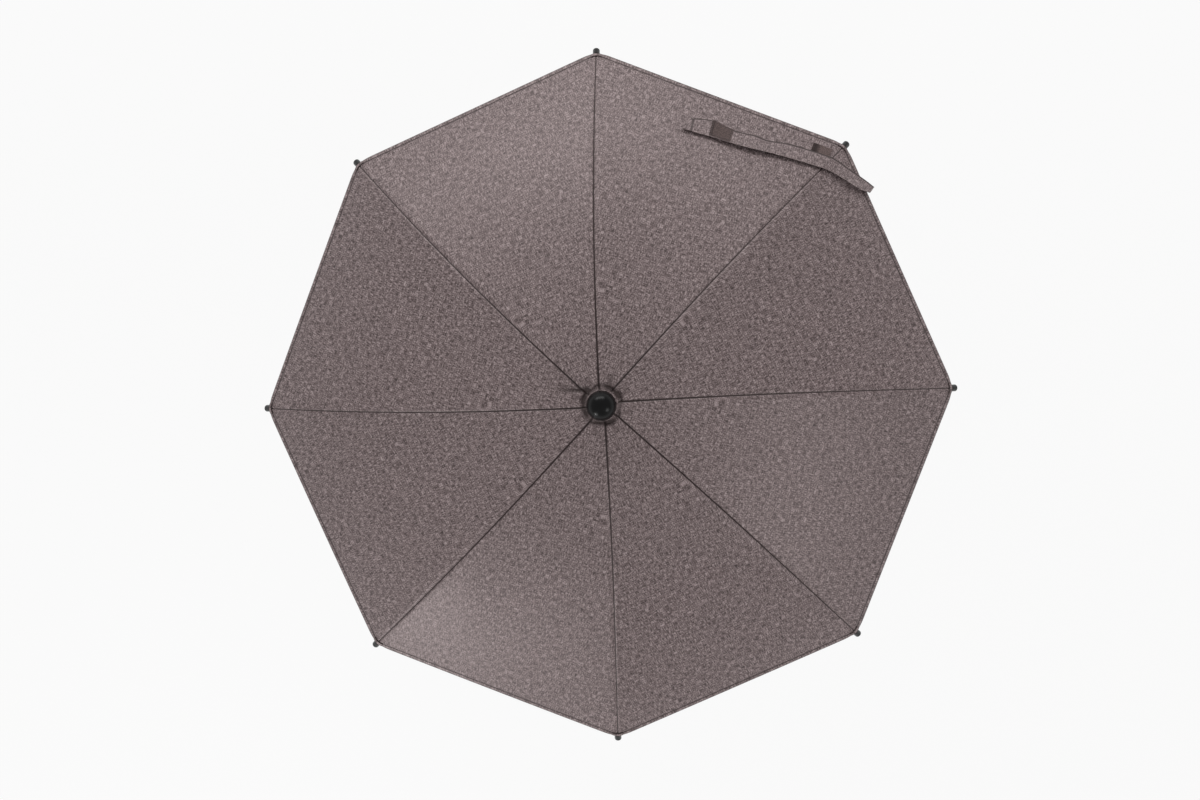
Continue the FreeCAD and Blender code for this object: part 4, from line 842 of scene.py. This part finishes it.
# The floor is level out to REACH, just under the part, and rises to its rim at SWEEP. All in m.
REACH, SWEEP, RISE, LEVEL = 30.0, 45.0, 8.0, cad_box[0][2] - 0.0005
FLOOR_CORNERS = ((-1, -1), (1, -1), (1, 1), (-1, 1))
floor_points = [(x * REACH, y * REACH, LEVEL) for x, y in FLOOR_CORNERS]
floor_points += [(x * SWEEP, y * SWEEP, RISE) for x, y in FLOOR_CORNERS]
floor_faces = [(0, 1, 2, 3)] + [(k, k + 4, (k + 1) % 4 + 4, (k + 1) % 4) for k in range(4)]
floor_mesh.from_pydata(floor_points, [], floor_faces)
floor = bpy.data.objects.new("studio_floor", floor_mesh)
bpy.context.collection.objects.link(floor)

# White paper: an even bright ground with a faint shadow, as this share of what is seen of it is plain white.
WHITE_SHARE = 0.86
paper, tree, shader = new_material("white_paper", Base_Color=linear("#f4f4f4"), Roughness=0.9)
rays = add_node(tree, "ShaderNodeLightPath").outputs
seen = add_node(tree, "ShaderNodeMath", {0: rays["Is Camera Ray"], 1: rays["Is Glossy Ray"]}, operation="ADD")
seen = add_node(tree, "ShaderNodeMath", {
    0: seen.outputs[0], 1: rays["Is Transmission Ray"]}, operation="ADD", use_clamp=True)
white = add_node(tree, "ShaderNodeEmission", {"Color": (1, 1, 1, 1), "Strength": 1.0})
lit = add_node(tree, "ShaderNodeMath", {0: seen.outputs[0], 1: WHITE_SHARE}, operation="MULTIPLY")
mixed = add_node(tree, "ShaderNodeMixShader", {0: lit.outputs[0], 1: shader.outputs[0], 2: white.outputs[0]})
tree.links.new(mixed.outputs[0], tree.nodes["Material Output"].inputs["Surface"])
floor_mesh.materials.append(paper)

world = bpy.data.worlds.new("studio")
bpy.context.scene.world = world
world.use_nodes = True
world.node_tree.nodes["Background"].inputs["Color"].default_value = (1, 1, 1, 1)
world.node_tree.nodes["Background"].inputs["Strength"].default_value = 0.5

# Lamps aimed at the canopy: azimuth and elevation in degrees, distance, width and height in m, and watts.
LAMP_TARGET = Vector((0.0, 0.0, 0.68))
for name, azimuth, elevation, distance, wide, high, watts in (
        ("upper_softbox", 98, 23, 2.0, 2.1, 0.6, 16.3),
        ("lower_left_softbox", 236, 14, 1.7, 0.3, 0.3, 5.7),
        ("right_softbox", 325, 33, 2.0, 0.65, 0.65, 5.2)):
    lamp = bpy.data.lights.new(name, "AREA")
    lamp.shape, lamp.size, lamp.size_y, lamp.energy = "RECTANGLE", wide, high, watts
    holder = bpy.data.objects.new(name, lamp)
    bpy.context.collection.objects.link(holder)
    a, e = math.radians(azimuth), math.radians(elevation)
    aim = Vector((math.cos(a) * math.cos(e), math.sin(a) * math.cos(e), math.sin(e)))
    holder.location = LAMP_TARGET + aim * distance
    holder.rotation_euler = aim.to_track_quat("Z", "Y").to_euler()

# Turns about X, Y and Z, and the offset in mm, that bring the ring of tip caps onto the photograph.
VIEW_TURN = (2.93, -2.55, 1.83)
VIEW_SHIFT = Vector((7.4, 1.85, 1514.7))
TIP_LEVEL = 597.1
turn = Matrix.Identity(3)
for angle, axis in zip(VIEW_TURN, "XYZ"):
    turn = turn @ Matrix.Rotation(math.radians(angle), 3, axis)
look = turn.transposed()
spot = look @ Vector((-VIEW_SHIFT.x, -VIEW_SHIFT.y, VIEW_SHIFT.z)) + Vector((0, 0, TIP_LEVEL))
view = bpy.data.cameras.new("camera")
view.sensor_width, view.lens = 36.0, 45.0
camera = bpy.data.objects.new("camera", view)
bpy.context.collection.objects.link(camera)
camera.matrix_world = Matrix.Translation(spot * MM) @ look.to_4x4()
bpy.context.scene.camera = camera
bpy.context.scene.view_settings.view_transform = "Standard"
